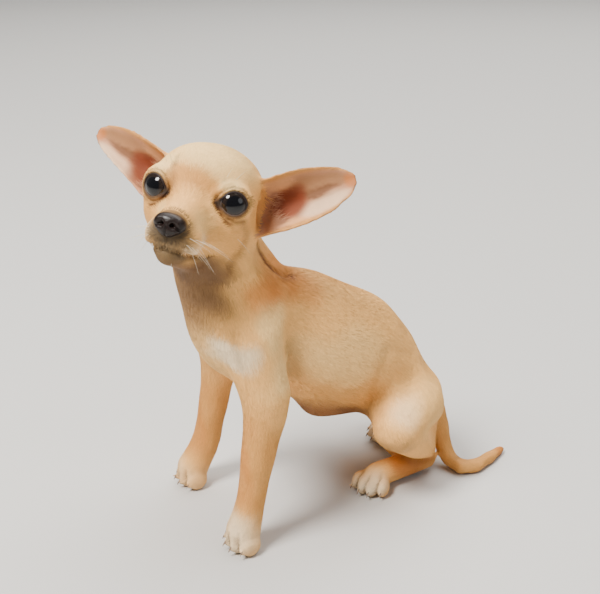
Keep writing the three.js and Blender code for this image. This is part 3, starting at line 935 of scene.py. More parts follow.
def laid(color, tint, share):
    """A named colour laid over others, by its share at each row."""
    return color + share[:, None] * (paint(tint) - color)


def painted(color, co, patches):
    """Colours with soft-edged patches laid over them."""
    for at, half, tint, strength, both in patches:
        for flip in (1, -1) if both else (1,):
            away = past_blob(co, (at[0] * flip, at[1], at[2]), half)
            color = laid(color, tint, strength * (1.0 - smoothstep(0.45, 1.35, away)))
    return color


def face_marks(color, head):
    """The marks that follow the eyes, nose and mouth, laid over the face."""
    for name in SIDES:
        a, b, c, outside = eye_view(head, name)
        near = (c > -1) & (outside < LID_REGION)
        place = np.stack([a, b], 1)
        upper = smoothstep(-1.5, 1.0, b)
        lid = 0.85 * (1.0 - smoothstep(0.2, 1.5, outside)) * upper
        # Painted shade in the crease above the upper lid
        crease_shade = 0.6 * swell(outside, 1.75, 0.5) * smoothstep(-1.0, 1.0, b)
        # Painted shade under the lower lid and along the bag fold; the tear line is reddish-brown skin with
        # painted shade in its groove
        under = 0.7 * (1.0 - smoothstep(0.5, 2.6, outside)) * smoothstep(1.0, -1.5, b)
        trough_and_shade = 0.9 * swell(near_row(place, TEAR_TROUGH), 0.0, 1.1)
        bag_shade = 0.6 * swell(near_row(place, BAG_FOLD), 0.0, 1.1)
        corner = 0.85 * swell(np.hypot(a - EYE_CORNER[0], b - EYE_CORNER[1]), 0.0, 1.8)
        ring = np.where(outside < 0, 0.9, 0.75 * (1.0 - smoothstep(0.3, 1.7, outside)))
        marks = (
            ("brown", np.maximum(under, bag_shade)),
            ("brown", trough_and_shade),
            ("dark", np.maximum(np.maximum(lid, crease_shade), corner)),
            ("dark", ring),
        )
        for tint, strength in marks:
            color = laid(color, tint, np.where(near, strength, 0.0))
    over, share = past_mouth(head)
    color = laid(color, "dark", 0.97 * swell(over, -0.15, 0.75) * share)
    # Below the mouth line and below the nose: grey skin with painted shade
    color = laid(color, "grey", 0.45 * swell(over, -1.4, 1.0) * share)
    pad = past_blob(head, NOSE_AT, NOSE_HALF)
    color = laid(color, "dark", 0.8 * (1.0 - smoothstep(1.05, 1.32, pad)))
    below = smoothstep(-6.0, -12.0, head[:, 2])
    return laid(color, "grey", 0.6 * (1.0 - smoothstep(1.2, 2.0, pad)) * below)


# Patches of colour on the ears' inner faces: place along and across, half sizes, colour, strength
# The upper wall is painted in shade, the fold in deeper shade, the cup in shade over red-brown skin, and
# the lower wall painted lighter as if lit
EAR_PATCHES = (
    ((0.60, -0.60), (0.34, 0.42), "ear_pink_and_lit", 0.95),
    ((0.28, -0.84), (0.20, 0.22), "ear_peach", 0.85),
    ((0.58, 0.32), (0.50, 0.52), "ear_shade", 0.95),
    ((0.50, 0.00), (0.36, 0.22), "ear_fold_shade", 0.9),
    ((0.17, 0.78), (0.22, 0.34), "ear_peach", 0.85),
    ((0.20, -0.12), (0.25, 0.62), "cup", 0.95),
    ((0.28, 0.24), (0.18, 0.34), "cup", 0.8),
    ((0.97, 0.10), (0.12, 0.90), "orange", 0.6),
)


def ear_colours(color, head, normals, name):
    """An ear's colours: the coat behind, and the bare skin, cup and rim within."""
    along, across = ear_view(head, name)
    inner = np.tile(paint("ear_skin"), (len(head), 1))
    wobble = 0.03 * np.sin(head[:, 0] * 0.5) + 0.03 * np.sin(head[:, 2] * 0.7 + 1.0)
    place = np.stack([along + wobble * 0.4, across + wobble], 1)
    for at, half, tint, strength in EAR_PATCHES:
        inner = laid(inner, tint, strength * (1.0 - smoothstep(0.55, 1.15, past_blob(place, at, half))))
    rim = smoothstep(0.80, 0.93, np.abs(across)) * smoothstep(1.3, 1.1, np.abs(across))
    inner = laid(inner, "gold", 0.8 * rim)
    facing = smoothstep(0.25, -0.15, normals[:, 1])
    return color + facing[:, None] * (inner - color)


def coat_colours(co, numbers, normals):
    """The coat's colour for rows in the shared frame, given their nodes and the way the skin faces."""
    body = to_puppy(co)
    head = transformed(TO_HEAD, body)
    color = np.tile(paint("tan"), (len(co), 1))
    color = painted(color, warped(body), BODY_PATCHES)
    for cleft in clefts(body, (2.5, -2.5), (11.0, 8.0), CLEFT_SHADE_HALF_WIDTH):
        color = laid(color, "brown", CLEFT_SHADE * cleft)
    face = face_marks(painted(color, warped(head), HEAD_PATCHES), head)
    color = np.where(on_nodes(numbers, "head", "lower_jaw")[:, None], face, color)
    for row, strength, width in FOLD_SHADES:
        color = laid(color, "brown", strength * swell(near_row(body, row), 0.0, width))
    facing = head_ways(normals)
    for name in SIDES:
        on_ear = on_nodes(numbers, "ear_" + name)
        behind = np.tile(paint("gold"), (int(on_ear.sum()), 1))
        color[on_ear] = ear_colours(behind, head[on_ear], facing[on_ear], name)
    return color


def set_colours(mesh, colors):
    """Keeps a colour for each vertex, under the name that the coat's material reads."""
    layer = mesh.color_attributes.new("coat", "FLOAT_COLOR", "POINT")
    rows = np.ones((len(colors), 4), np.float32)
    rows[:, :3] = colors
    layer.data.foreach_set("color", rows.ravel())


def set_inputs(tree, node, inputs):
    """Gives a node's inputs their values, or links them where another node's output is given."""
    for key, value in inputs.items():
        if isinstance(value, bpy.types.NodeSocket):
            tree.links.new(value, node.inputs[key])
        else:
            node.inputs[key].default_value = value


def add_node(tree, kind, inputs, output, **settings):
    """The named output of a new shader node."""
    node = tree.nodes.new("ShaderNode" + kind)
    for key, value in settings.items():
        setattr(node, key, value)
    set_inputs(tree, node, inputs)
    return node.outputs[output]


def new_material(name):
    """A new material, its node tree and its shader."""
    material = bpy.data.materials.new(name)
    material.use_nodes = True
    return material, material.node_tree, material.node_tree.nodes["Principled BSDF"]


def plain_material(name, color, roughness):
    """A simple finish."""
    material, tree, shader = new_material(name)
    set_inputs(tree, shader, {"Base Color": (*color, 1.0), "Roughness": roughness})
    return material


def coat_material(name, roughness, variation, grain, depth):
    """Coloured by the coat's own colours, with fine mottling and grain."""
    material, tree, shader = new_material(name)
    color = add_node(tree, "Attribute", {}, "Color", attribute_name="coat")
    place = add_node(tree, "TexCoord", {}, "Object")
    mottle = add_node(tree, "TexNoise", {"Scale": grain, "Detail": 4.0, "Vector": place}, "Fac")
    ends = {"To Min": 1.0 - variation, "To Max": 1.0 + variation}
    spread = add_node(tree, "MapRange", {**ends, "Value": mottle}, "Result")
    mottled = add_node(tree, "VectorMath", {0: color, "Scale": spread}, "Vector", operation="SCALE")
    fine = add_node(tree, "TexNoise", {"Scale": grain * 6, "Detail": 2.0, "Vector": place}, "Fac")
    bump = add_node(tree, "Bump", {"Strength": depth, "Distance": 0.0003, "Height": fine}, "Normal")
    set_inputs(tree, shader, {
        "Base Color": mottled, "Normal": bump, "Roughness": roughness, "Specular IOR Level": 0.3,
    })
    return material


# The coat's lie

# The way the hair lies on each part, as places in the puppy's frame, and in the head's
TAIL_ROW = (
    (0, 59, 37), (2, 66, 27), (5.5, 67.5, 18), (9.5, 66.5, 10), (16, 66, 4.8),
    (24, 67.6, 3.5), (26, 75, 3.2), (22.5, 86, 2.8), (17.7, 98, 2.1),
)
LIE = {
    "torso": ((0, -52, 146), (0, -43, 112), (0, -12, 86), (0, 18, 68), (0, 44, 46), (0, 58, 18)),
    "neck": ((2, -58, 150), (0, -44, 112)),
    "tail": TAIL_ROW,
    "foreleg_left": (
        (18, -45, 100), (25.5, -41, 68), (26.5, -46, 45), (27.3, -50.8, 21), (27.3, -54.5, 8.8),
    ),
    "foreleg_right": (
        (-18, -45, 100), (-27.5, -38.5, 66), (-30, -41.5, 43), (-32, -45.5, 21), (-33, -52.5, 8.8),
    ),
    "forepaw_left": ((27.3, -49, 22), (27.3, -54, 10), (27.3, -66, 2)),
    "forepaw_right": ((-32, -46, 22), (-33, -52, 10), (-33, -65, 2)),
    "hindleg_left": ((20, 30, 66), (26, 38, 38), (12, 54, 10)),
    "hindleg_right": ((-20, 30, 66), (-26, 42, 42), (-21, 69, 24)),
    "hindpaw_left": ((12, 54, 10), (14.5, 23, 7), (20, 12, 3)),
    "hindpaw_right": ((-21, 69, 22), (-22, 56.5, 8), (-23, 44, 3)),
}
HEAD_LIE = {
    "head": ((0, -42, -10), (0, -22, 2), (0, 0, 12), (0, 24, 2), (0, 30, -20)),
    "lower_jaw": ((0, -36, -20), (0, -12, -26)),
    "ear_left": ((24, 0, 0), (55, 9, 20)),
    "ear_right": ((-24, 0, 0), (-58, 12, 11)),
}

# On the head: how the lie spreads with each millimetre from its middle, how it drops, and the lip's way
HEAD_SPREAD = (0.012, 0.0, 0.004)
HEAD_DROP = (0, 0, -0.25)
LIP_WAY = (0, 0.3, -1.8)


def lie_of_coat(mesh, numbers):
    """The way the hair lies at each of the skin's vertices."""
    body = to_puppy(points_of(mesh))
    head = transformed(TO_HEAD, body)
    turn = np.array(TO_BODY)[:3, :3]
    way = np.zeros_like(body)
    for number, node in enumerate(FLESH):
        chosen = numbers == number
        if node in LIE:
            way[chosen] = along_row(body[chosen], LIE[node])
        else:
            there = along_row(head[chosen], HEAD_LIE[node])
            if node == "head":
                there = there + head[chosen] * HEAD_SPREAD + HEAD_DROP
                over, share = past_mouth(head[chosen])
                lip = share * smoothstep(-0.5, 0.3, over) * smoothstep(4.5, 2.5, over)
                there = there + lip[:, None] * np.array(LIP_WAY)
            way[chosen] = there @ turn.T
    way = relaxed(way, edges_of(mesh), weight=0.5, rounds=24)
    normals = normals_of(mesh)
    return scaled_to_one(way - normals * np.sum(way * normals, axis=1)[:, None])


# The pieces


class PUPPY_OT_skin(bpy.types.Operator):
    """Fuses the flesh into one skin and shapes its lids, lips and folds"""

    bl_idname = "puppy.skin"
    bl_label = "Skin"

    def execute(self, context):
        mesh = skin_mesh(size_of("grain"))
        numbers = node_numbers(points_of(mesh))
        set_colours(mesh, coat_colours(points_of(mesh), numbers, normals_of(mesh)))
        fur = coat_material("skin", roughness=0.75, variation=0.10, grain=260.0, depth=0.35)
        add_piece("skin", mesh, fur, "coat_tan", *FLESH)
        return {"FINISHED"}


# The eye's colours from the middle of the pupil to the back of the ball
EYE_STOPS = (
    (0.0, (0.002, 0.002, 0.003)), (0.42, (0.002, 0.002, 0.003)), (0.47, (0.012, 0.008, 0.006)),
    (0.60, (0.018, 0.011, 0.008)), (0.67, (0.005, 0.004, 0.004)), (0.74, (0.10, 0.09, 0.09)),
    (1.0, (0.22, 0.18, 0.17)),
)


def eye_material(name):
    """A near-black brown iris round a black pupil, under a wet clear coat."""
    material, tree, shader = new_material(name)
    place = add_node(tree, "Attribute", {}, "Vector", attribute_name="eye_place")
    flat = add_node(tree, "VectorMath", {1: (1.0, 1.0, 0.0), 0: place}, "Vector", operation="MULTIPLY")
    away = add_node(tree, "VectorMath", {0: flat}, "Value", operation="LENGTH")
    color = add_node(tree, "ValToRGB", {"Fac": away}, "Color")
    ramp = color.node.color_ramp
    ramp.elements[0].color = (*EYE_STOPS[0][1], 1.0)
    ramp.elements[-1].position = 1.0
    ramp.elements[-1].color = (*EYE_STOPS[-1][1], 1.0)
    for position, tint in EYE_STOPS[1:-1]:
        ramp.elements.new(position).color = (*tint, 1.0)
    set_inputs(tree, shader, {
        "Base Color": color, "Roughness": 0.12, "Specular IOR Level": 0.1,
        "Coat Weight": 1.0, "Coat Roughness": 0.02, "Coat IOR": 1.38,
    })
    return material


# The clear front of the eye: where it starts and how far it bulges, as shares of the ball's radius
CORNEA_START = 0.7
CORNEA_BULGE = 0.02


def eyeball(name):
    """An eyeball with a slight bulge where it is clear, its pole turned the way it looks."""
    bm = bmesh.new()
    ball = size_of("eye_radius")
    bmesh.ops.create_uvsphere(bm, u_segments=64, v_segments=40, radius=ball)
    places = bm.verts.layers.float_vector.new("eye_place")
    for vert in bm.verts:
        vert[places] = vert.co / ball
        height = vert.co.z / ball
        vert.co *= 1.0 + CORNEA_BULGE * max(0.0, (height - CORNEA_START) / (1.0 - CORNEA_START))
    turn = eye_axes(name)[0].to_track_quat("Z", "Y").to_matrix().to_4x4()
    place = HEAD_PLACE @ Matrix.Translation(EYES[name][0]) @ turn
    bmesh.ops.transform(bm, matrix=place, verts=bm.verts)
    mesh = finished_mesh(bm, "eyeball_" + name)
    shade_smooth(mesh)
    return mesh


def lid_edge(name, radius):
    """Places round the opening between an eye's lids, on a ball of some radius."""
    ahead, inward, over = eye_axes(name)
    places = []
    for a, b in opening():
        c = math.sqrt(max(radius ** 2 - a * a - b * b, 0.01))
        places.append(Vector(EYES[name][0]) + inward * a + over * b + ahead * c)
    return places


def tube_mesh(name, rows, radius, closed=False):
    """A round tube along each row of places in the head's frame, given as (places, widths)."""
    data = bpy.data.curves.new(name, "CURVE")
    data.dimensions = "3D"
    data.bevel_depth = radius * MM
    data.bevel_resolution = 3 if closed else 1
    data.use_fill_caps = not closed
    for places, widths in rows:
        spline = data.splines.new("POLY")
        spline.points.add(len(places) - 1)
        for point, at, width in zip(spline.points, places, widths):
            point.co = (*(HEAD_PLACE @ at), 1.0)
            point.radius = width
        spline.use_cyclic_u = closed
    mesh = evaluated(name, data)
    mesh.name = name
    bpy.data.curves.remove(data)
    shade_smooth(mesh)
    return mesh


# The lids' edges, in mm: how thick they are, and how far their middle lies over the ball
LID_RIM_RADIUS = 0.45
LID_RIM_GAP = 0.08


def lid_rims():
    """The moist edges of all four lids, dark above and pale below."""
    widths = 0.82 + 0.18 * np.tanh(2.0 * opening()[:, 1])
    rows = [(lid_edge(name, size_of("eye_radius") + LID_RIM_GAP), widths) for name in SIDES]
    mesh = tube_mesh("lid_rims", rows, LID_RIM_RADIUS, closed=True)
    head = head_rows(points_of(mesh))
    color = np.tile(paint("lid"), (len(head), 1))
    for name in SIDES:
        up = eye_view(head, name)[1]
        near = np.linalg.norm(from_eye(head, name), axis=1) < LID_REGION
        color = laid(color, "lid_pale", near * smoothstep(-1.2, -2.8, up) * 0.7)
    set_colours(mesh, color)
    return mesh


class PUPPY_OT_eyes(bpy.types.Operator):
    """Makes both eyeballs and the rims of their lids"""

    bl_idname = "puppy.eyes"
    bl_label = "Eyes"

    def execute(self, context):
        wet = eye_material("eye")
        for name in SIDES:
            add_piece("eyeball_" + name, eyeball(name), wet, "eye", "eye_" + name)
        moist = coat_material("lid_rim", roughness=0.5, variation=0.05, grain=400.0, depth=0.1)
        add_piece("lid_rims", lid_rims(), moist, "nose_leather")
        return {"FINISHED"}


def leather_material(name):
    """Dark, moist, finely pebbled skin."""
    material, tree, shader = new_material(name)
    place = add_node(tree, "TexCoord", {}, "Object")
    cells = add_node(tree, "TexVoronoi", {"Scale": 1500.0, "Vector": place}, "Distance")
    shade = add_node(tree, "MapRange", {"To Min": 0.8, "To Max": 1.5, "Value": cells}, "Result")
    leather = {0: paint("leather"), "Scale": shade}
    color = add_node(tree, "VectorMath", leather, "Vector", operation="SCALE")
    bump = add_node(tree, "Bump", {"Strength": 0.4, "Distance": 0.00012, "Height": cells}, "Normal")
    set_inputs(tree, shader, {
        "Base Color": color, "Normal": bump, "Roughness": 0.42, "Specular IOR Level": 0.22,
        "Coat Weight": 0.12, "Coat Roughness": 0.22,
    })
    return material


# The nose leather, in shares of its half sizes: how much narrower it is below, and where its front and top
# start to flatten and to what share
NOSE_TAPER = 0.30
NOSE_FRONT = (0.55, 0.72)
NOSE_TOP = (0.6, 0.75)

# The nose leather's dents, and its swellings with a minus: place to either side and up, half sizes, depth
NOSTRIL = ((2.75, 0.25), (1.15, 1.0), 3.0)
NOSTRIL_TAIL = ((3.0, 0.1), (4.3, -0.5), (5.5, -1.2))
NOSE_WING = ((4.2, 1.4), (1.2, 1.1), -0.35)
NOSE_LIP = ((3.0, -1.7), (1.3, 0.6), -0.25)
NOSTRIL_TAIL_DEPTH = 1.3
NOSE_GROOVE_DEPTH = 0.55


def flattened(x, start, share):
    """Values that are drawn in to a share of their way past a start."""
    return np.where(x > start, start + (x - start) * share, x)


def nose_mesh():
    """The nose leather: a blunt pad, wide above, with two comma-shaped nostrils and a groove below."""
    bm = bmesh.new()
    bmesh.ops.create_uvsphere(bm, u_segments=96, v_segments=64, radius=1.0)
    bmesh.ops.rotate(bm, verts=bm.verts, matrix=Matrix.Rotation(math.pi / 2, 3, "X"))
    mesh = finished_mesh(bm, "nose_pad")
    shade_smooth(mesh)
    co = points_of(mesh)
    co[:, 0] *= 1.0 - NOSE_TAPER * smoothstep(0.05, 1.0, -co[:, 2])
    co[:, 1] = -flattened(-co[:, 1], *NOSE_FRONT)
    co[:, 2] = flattened(co[:, 2], *NOSE_TOP)
    co *= np.array(NOSE_HALF)
    side, front, up = np.abs(co[:, 0]), smoothstep(0.6, 2.6, -co[:, 1]), co[:, 2]
    tail = swell(near_row(np.stack([side, up], 1), NOSTRIL_TAIL), 0.0, 0.5) * smoothstep(2.8, 3.6, side)
    groove = swell(co[:, 0], 0.0, 0.4) * smoothstep(1.0, -0.8, up)
    sunk = dent(side, up, NOSTRIL) + NOSTRIL_TAIL_DEPTH * tail + NOSE_GROOVE_DEPTH * groove
    sunk += dent(side, up, NOSE_WING) + dent(side, up, NOSE_LIP)
    reach = np.linalg.norm(co, axis=1)
    co *= (1.0 - front * sunk / np.maximum(reach, 1.0))[:, None]
    co += np.array(NOSE_AT)
    set_points(mesh, from_puppy(transformed(TO_BODY, co)))
    return mesh


class PUPPY_OT_nose(bpy.types.Operator):
    """Makes the nose leather with its nostrils"""

    bl_idname = "puppy.nose"
    bl_label = "Nose"

    def execute(self, context):
        add_piece("nose_pad", nose_mesh(), leather_material("nose_leather"), "nose_leather", "nose")
        return {"FINISHED"}


def toe_place(paw, place):
    """From a toe's own frame, its middle at the origin and -Y ahead, to the puppy's."""
    (x, y), ahead, turn = PAWS[paw]
    lag = TOE_LAG if abs(place) > 1 else 0.0
    return (
        Matrix.Translation((x, y, 0))
        @ Matrix.Rotation(math.radians(turn), 4, "Z")
        @ Matrix.Translation((place * TOE_SPACING, lag - ahead, TOE_HALF.z - TOE_FLAT))
        @ Matrix.Rotation(math.radians(place * TOE_FAN), 4, "Z")
    )


# A claw: its length and its radius at root and tip in mm, its width's share of its height, and its curve
CLAW_LENGTH = 2.9
CLAW_ROOT = 0.72
CLAW_TIP = 0.2
CLAW_FLATNESS = 0.75
CLAW_CURVE = 0.16


def claw(place):
    """A small curved claw out of the front of a toe."""
    bm = bmesh.new()
    bmesh.ops.create_cone(
        bm, cap_ends=True, segments=10, radius1=CLAW_ROOT, radius2=CLAW_TIP, depth=CLAW_LENGTH
    )
    long = [e for e in bm.edges if abs(e.verts[0].co.z - e.verts[1].co.z) > 2]
    bmesh.ops.subdivide_edges(bm, edges=long, cuts=4)
    for vert in bm.verts:
        run = vert.co.z + CLAW_LENGTH / 2
        vert.co = Vector((vert.co.x * CLAW_FLATNESS, -run, vert.co.y - CLAW_CURVE * run * run))
    lean = Matrix.Translation((0, -TOE_HALF.y + 1.4, 0.2)) @ Matrix.Rotation(math.radians(20), 4, "X")
    bmesh.ops.transform(bm, matrix=BODY_PLACE @ place @ lean, verts=bm.verts)
    return finished_mesh(bm, "claw")


class PUPPY_OT_claws(bpy.types.Operator):
    """Makes the four claws of each paw"""

    bl_idname = "puppy.claws"
    bl_label = "Claws"

    def execute(self, context):
        horn = plain_material("claw_horn", paint("horn"), roughness=0.4)
        for paw in PAWS:
            bm = bmesh.new()
            for place in TOE_PLACES:
                add_to(bm, claw(toe_place(paw, place)))
            bmesh.ops.recalc_face_normals(bm, faces=bm.faces)
            mesh = finished_mesh(bm, "claws_" + paw)
            shade_smooth(mesh)
            add_piece("claws_" + paw, mesh, horn, "nose_leather")
        return {"FINISHED"}


# Whiskers of each side: root, way, length and sag in mm in the head's frame, and how deep they are rooted
WHISKERS = (
    ((7.5, -35.5, -14.0), (0.9, 0.15, -0.10), 11, 1.2),
    ((8.5, -33.5, -14.5), (0.9, 0.35, -0.15), 13, 1.6),
    ((9.3, -31.0, -15.0), (0.85, 0.5, -0.2), 15, 2.0),
    ((10.0, -28.5, -15.0), (0.8, 0.65, -0.2), 13, 2.0),
    ((7.0, -36.0, -16.5), (0.85, 0.05, -0.4), 9, 1.0),
    ((8.3, -34.0, -17.0), (0.85, 0.25, -0.45), 11, 1.4),
    ((9.3, -31.5, -17.5), (0.8, 0.4, -0.5), 12, 1.8),
    ((10.2, -28.5, -17.5), (0.6, 0.3, -0.8), 11, 1.0),
    ((8.8, -31.0, -19.5), (0.45, 0.2, -0.9), 8, 0.6),
    ((11.5, -17.0, 9.5), (0.3, -0.5, 0.8), 8, 1.0),
    ((14.5, -15.0, 9.5), (0.5, -0.4, 0.8), 7, 0.8),
    ((20.0, -12.0, -13.0), (0.8, 0.35, -0.5), 8, 0.8),
    ((3.0, -33.0, -26.0), (0.2, -0.4, -0.9), 6, 0.4),
)
WHISKER_ROOT_DEPTH = 0.4


def whisker_rows(tree, rng):
    """Each whisker as places in the head's frame and its widths."""
    rows = []
    share = np.linspace(0.0, 1.0, 9)
    for (x, y, z), way, reach, sag in WHISKERS:
        for flip in (1, -1):
            at, normal, _, _ = tree.find_nearest(HEAD_PLACE @ Vector((x * flip, y, z)))
            root = HEAD_PLACE.inverted() @ (at - normal * WHISKER_ROOT_DEPTH * MM)
            run = Vector((way[0] * flip, way[1], way[2])).normalized() + Vector(rng.normal(0.0, 0.06, 3))
            long = reach * rng.uniform(0.9, 1.1)
            places = [root + run * (long * s) + Vector((0, 0, -sag * s * s)) for s in share]
            rows.append((places, 1.0 - 0.85 * share))
    return rows


class PUPPY_OT_whiskers(bpy.types.Operator):
    """Makes the whiskers and the long hairs of the brows and chin"""

    bl_idname = "puppy.whiskers"
    bl_label = "Whiskers"

    def execute(self, context):
        tree = tree_of(bpy.data.objects["skin"].data)
        rng = np.random.default_rng(context.scene.puppy_sizes.seed + 1)
        mesh = tube_mesh("whiskers", whisker_rows(tree, rng), size_of("whisker_radius"))
        hair = plain_material("whisker", paint("whisker"), roughness=0.45)
        add_piece("whiskers", mesh, hair, "coat_cream")
        return {"FINISHED"}


# Coat: tufts to each square mm, length, width, thickness and lift in mm, and spread of the lie in degrees
DENSITY, LENGTH, WIDTH, THICKNESS, LIFT, SPREAD = range(6)
TUFTS = {
    "torso": (3.4, 5.0, 0.34, 0.05, 0.24, 7),
    "neck": (4.0, 4.4, 0.32, 0.05, 0.25, 8),
    "tail": (4.8, 3.8, 0.32, 0.05, 0.32, 9),
    "head": (6.0, 2.6, 0.26, 0.04, 0.15, 9),
    "lower_jaw": (6.0, 2.4, 0.24, 0.04, 0.16, 11),
    "ear": (4.0, 2.0, 0.22, 0.03, 0.10, 10),
    "foreleg": (4.4, 3.4, 0.30, 0.05, 0.20, 8),
    "forepaw": (5.8, 2.1, 0.24, 0.04, 0.14, 10),
    "hindleg": (4.0, 4.2, 0.32, 0.05, 0.22, 8),
    "hindpaw": (5.8, 2.1, 0.24, 0.04, 0.14, 10),
}
FRINGE = (2.2, 5.0, 0.20, 0.05, 1.1, 16)
COAT_GROUPS = {
    "coat_torso": ("torso",),
    "coat_neck": ("neck",),
    "coat_head": ("head", "lower_jaw"),
    "coat_ears": ("ear_left", "ear_right"),
    "coat_forelegs": ("foreleg_left", "foreleg_right", "forepaw_left", "forepaw_right"),
    "coat_hindlegs": ("hindleg_left", "hindleg_right", "hindpaw_left", "hindpaw_right"),
    "coat_tail": ("tail",),
}

# The most tufts that one piece holds, the faces of the unwrapped copy, and half a tuft's patch on it
MOST_TUFTS = 32000
UNWRAP_FACES = 6000
PATCH = 0.0015

# How far from the lids' edge the coat starts, in mm, and where it has its whole length
LASHLESS = 0.45
SHORT_HAIR = (0.5, 7.0)


def bare_places(co, normals, numbers):
    """True for rows in the openings of the eyes, under the nose, in the mouth, or inside an ear."""
    head, facing = head_rows(co), head_ways(normals)
    over, share = past_mouth(head)
    bare = (np.abs(over + 0.1) < 0.45) & (share > 0.5)
    bare |= past_blob(head, NOSE_AT, np.array(NOSE_HALF) + 0.2) < 1.0
    for name in SIDES:
        bare |= eye_view(head, name)[3] < LASHLESS
        along, across = ear_view(head, name)
        inner = on_nodes(numbers, "ear_" + name) & (facing[:, 1] < 0.05)
        bare |= inner & (np.abs(across) < 0.86) & (along > 0.04) & ((across < 0.6) | (along > 0.34))
    return bare


def unwrapped(mesh):
    """A plainer copy of the skin with an unwrap of its own: its tree, corners and places on the unwrap."""
    plain = evaluated("plainer", mesh, "DECIMATE", ratio=UNWRAP_FACES / len(triangles_of(mesh)))
    holder = bpy.data.objects.new("unwrap", plain)
    bpy.context.scene.collection.objects.link(holder)
    bpy.context.view_layer.objects.active = holder
    bpy.ops.object.mode_set(mode="EDIT")
    bpy.ops.mesh.select_all(action="SELECT")
    bpy.ops.uv.smart_project(angle_limit=math.radians(66), island_margin=0.01)
    bpy.ops.object.mode_set(mode="OBJECT")
    co = points_of(plain)
    triangles = triangles_of(plain)
    loops = np.empty(len(plain.loop_triangles) * 3, np.int64)
    plain.loop_triangles.foreach_get("loops", loops)
    places = np.empty(len(plain.loops) * 2)
    plain.uv_layers.active.data.foreach_get("uv", places)
    tree = tree_of(plain)
    bpy.data.objects.remove(holder)
    bpy.data.meshes.remove(plain)
    return tree, co[triangles], places.reshape(-1, 2)[loops].reshape(-1, 3, 2)


class Coat:
    """The skin's measures that every tuft needs."""

    def __init__(self, skin):
        mesh = skin.data
        self.co = points_of(mesh)
        self.normals = normals_of(mesh)
        self.numbers = node_numbers(self.co)
        self.lie = lie_of_coat(mesh, self.numbers)
        self.triangles = triangles_of(mesh)
        corners = self.co[self.triangles]
        cross = np.cross(corners[:, 1] - corners[:, 0], corners[:, 2] - corners[:, 0])
        self.areas = np.linalg.norm(cross, axis=1) / 2 / MM ** 2
        self.tree = tree_of(mesh)
        values = np.array([part_value(TUFTS, node) for node in FLESH])[self.numbers]
        self.values = relaxed(values, edges_of(mesh), weight=0.5, rounds=12)
        head = head_rows(self.co)
        for name in SIDES:
            self.values[:, LENGTH] *= 0.4 + 0.6 * smoothstep(*SHORT_HAIR, eye_view(head, name)[3])
        over, share = past_mouth(head)
        upper_lip = share * smoothstep(0.0, 0.8, over) * smoothstep(4.5, 2.5, over)
        self.values[:, LENGTH] *= 1.0 + 0.45 * upper_lip
        self.unwrap = unwrapped(mesh)

    def lying(self, points, heights):
        """Points brought down onto the skin, and raised off it by some heights."""
        placed = np.empty_like(points)
        for i, point in enumerate(points):
            at, normal, _, _ = self.tree.find_nearest(Vector(point))
            placed[i] = np.array(at) + np.array(normal) * heights[i]
        return placed

    def tufts(self, wanted, density, rng):
        """Corner numbers and weights of roots, spread over the wanted triangles by their density."""
        share = density[self.triangles].mean(1) * self.areas
        share = np.where(wanted[self.triangles[:, 0]], share, 0.0)
        count = int(share.sum())
        chosen = rng.choice(len(share), size=count, p=share / share.sum())
        u, v = rng.random(count), rng.random(count)
        over = u + v > 1
        u[over], v[over] = 1 - u[over], 1 - v[over]
        return self.triangles[chosen], np.stack([1 - u - v, u, v], 1)

    def on_unwrap(self, points):
        """Where each point lies on the unwrap of the skin."""
        tree, corners, places = self.unwrap
        faces = np.array([tree.find_nearest(Vector(p))[2] for p in points])
        a, b, c = corners[faces].transpose(1, 0, 2)
        whole = np.cross(b - a, c - a)
        size = np.maximum(np.sum(whole * whole, axis=1), 1e-30)
        v = np.sum(np.cross(points - a, c - a) * whole, axis=1) / size
        w = np.sum(np.cross(b - a, points - a) * whole, axis=1) / size
        weights = np.clip(np.stack([1 - v - w, v, w], 1), 0.0, 1.0)
        weights /= weights.sum(1, keepdims=True)
        return np.einsum("nk,nkd->nd", weights, places[faces])


def mixed(values, corners, weights):
    """Values at the corners of triangles, mixed by weights."""
    return np.einsum("nk,nkd->nd", weights, values[corners])


# A tuft's corners are its root, left, right, ridge and tip: its faces, and each corner's tone and place on
# the unwrap
TUFT_FACES = ((0, 1, 3), (0, 3, 2), (1, 4, 3), (2, 3, 4), (0, 2, 1), (1, 2, 4))
TUFT_TONE = (0.88, 0.96, 0.96, 1.0, 1.05)
TUFT_PATCH = ((0, -PATCH), (-PATCH, 0), (PATCH, 0), (0, 0), (0, PATCH))

# A tuft's middle, as shares of its length and its lift, how deep its root is in mm, and its sides' lean
TUFT_MIDDLE = 0.42
MIDDLE_LIFT = 0.62
ROOT_DEPTH = 0.15
SIDE_LEAN = 0.42


def tuft_shape(coat, root, normal, way, values, rng):
    """The five corners of each tuft, and its way across."""
    count = len(root)
    hair_length = bpy.context.scene.puppy_sizes.hair_length
    reach = values[:, LENGTH] * MM * rng.uniform(0.75, 1.25, count) * hair_length
    width = values[:, WIDTH] * MM * rng.uniform(0.8, 1.25, count)
    thick = values[:, THICKNESS] * MM
    lift = values[:, LIFT] * MM * rng.uniform(0.55, 1.2, count)
    stray = np.radians(values[:, SPREAD]) * rng.standard_normal(count)
    way = way * np.cos(stray)[:, None] + np.cross(normal, way) * np.sin(stray)[:, None]
    way = scaled_to_one(way - normal * np.sum(way * normal, axis=1)[:, None])
    across = np.cross(normal, way)

    middle = coat.lying(root + way * (reach * TUFT_MIDDLE)[:, None], lift * MIDDLE_LIFT)
    tip = coat.lying(middle + way * (reach * (1.0 - TUFT_MIDDLE))[:, None], lift)
    half = across * (width / 2)[:, None]
    inside = root - normal * (ROOT_DEPTH * MM)
    ridge = middle + normal * thick[:, None]
    return np.stack([inside, middle - half, middle + half, ridge, tip], 1), across


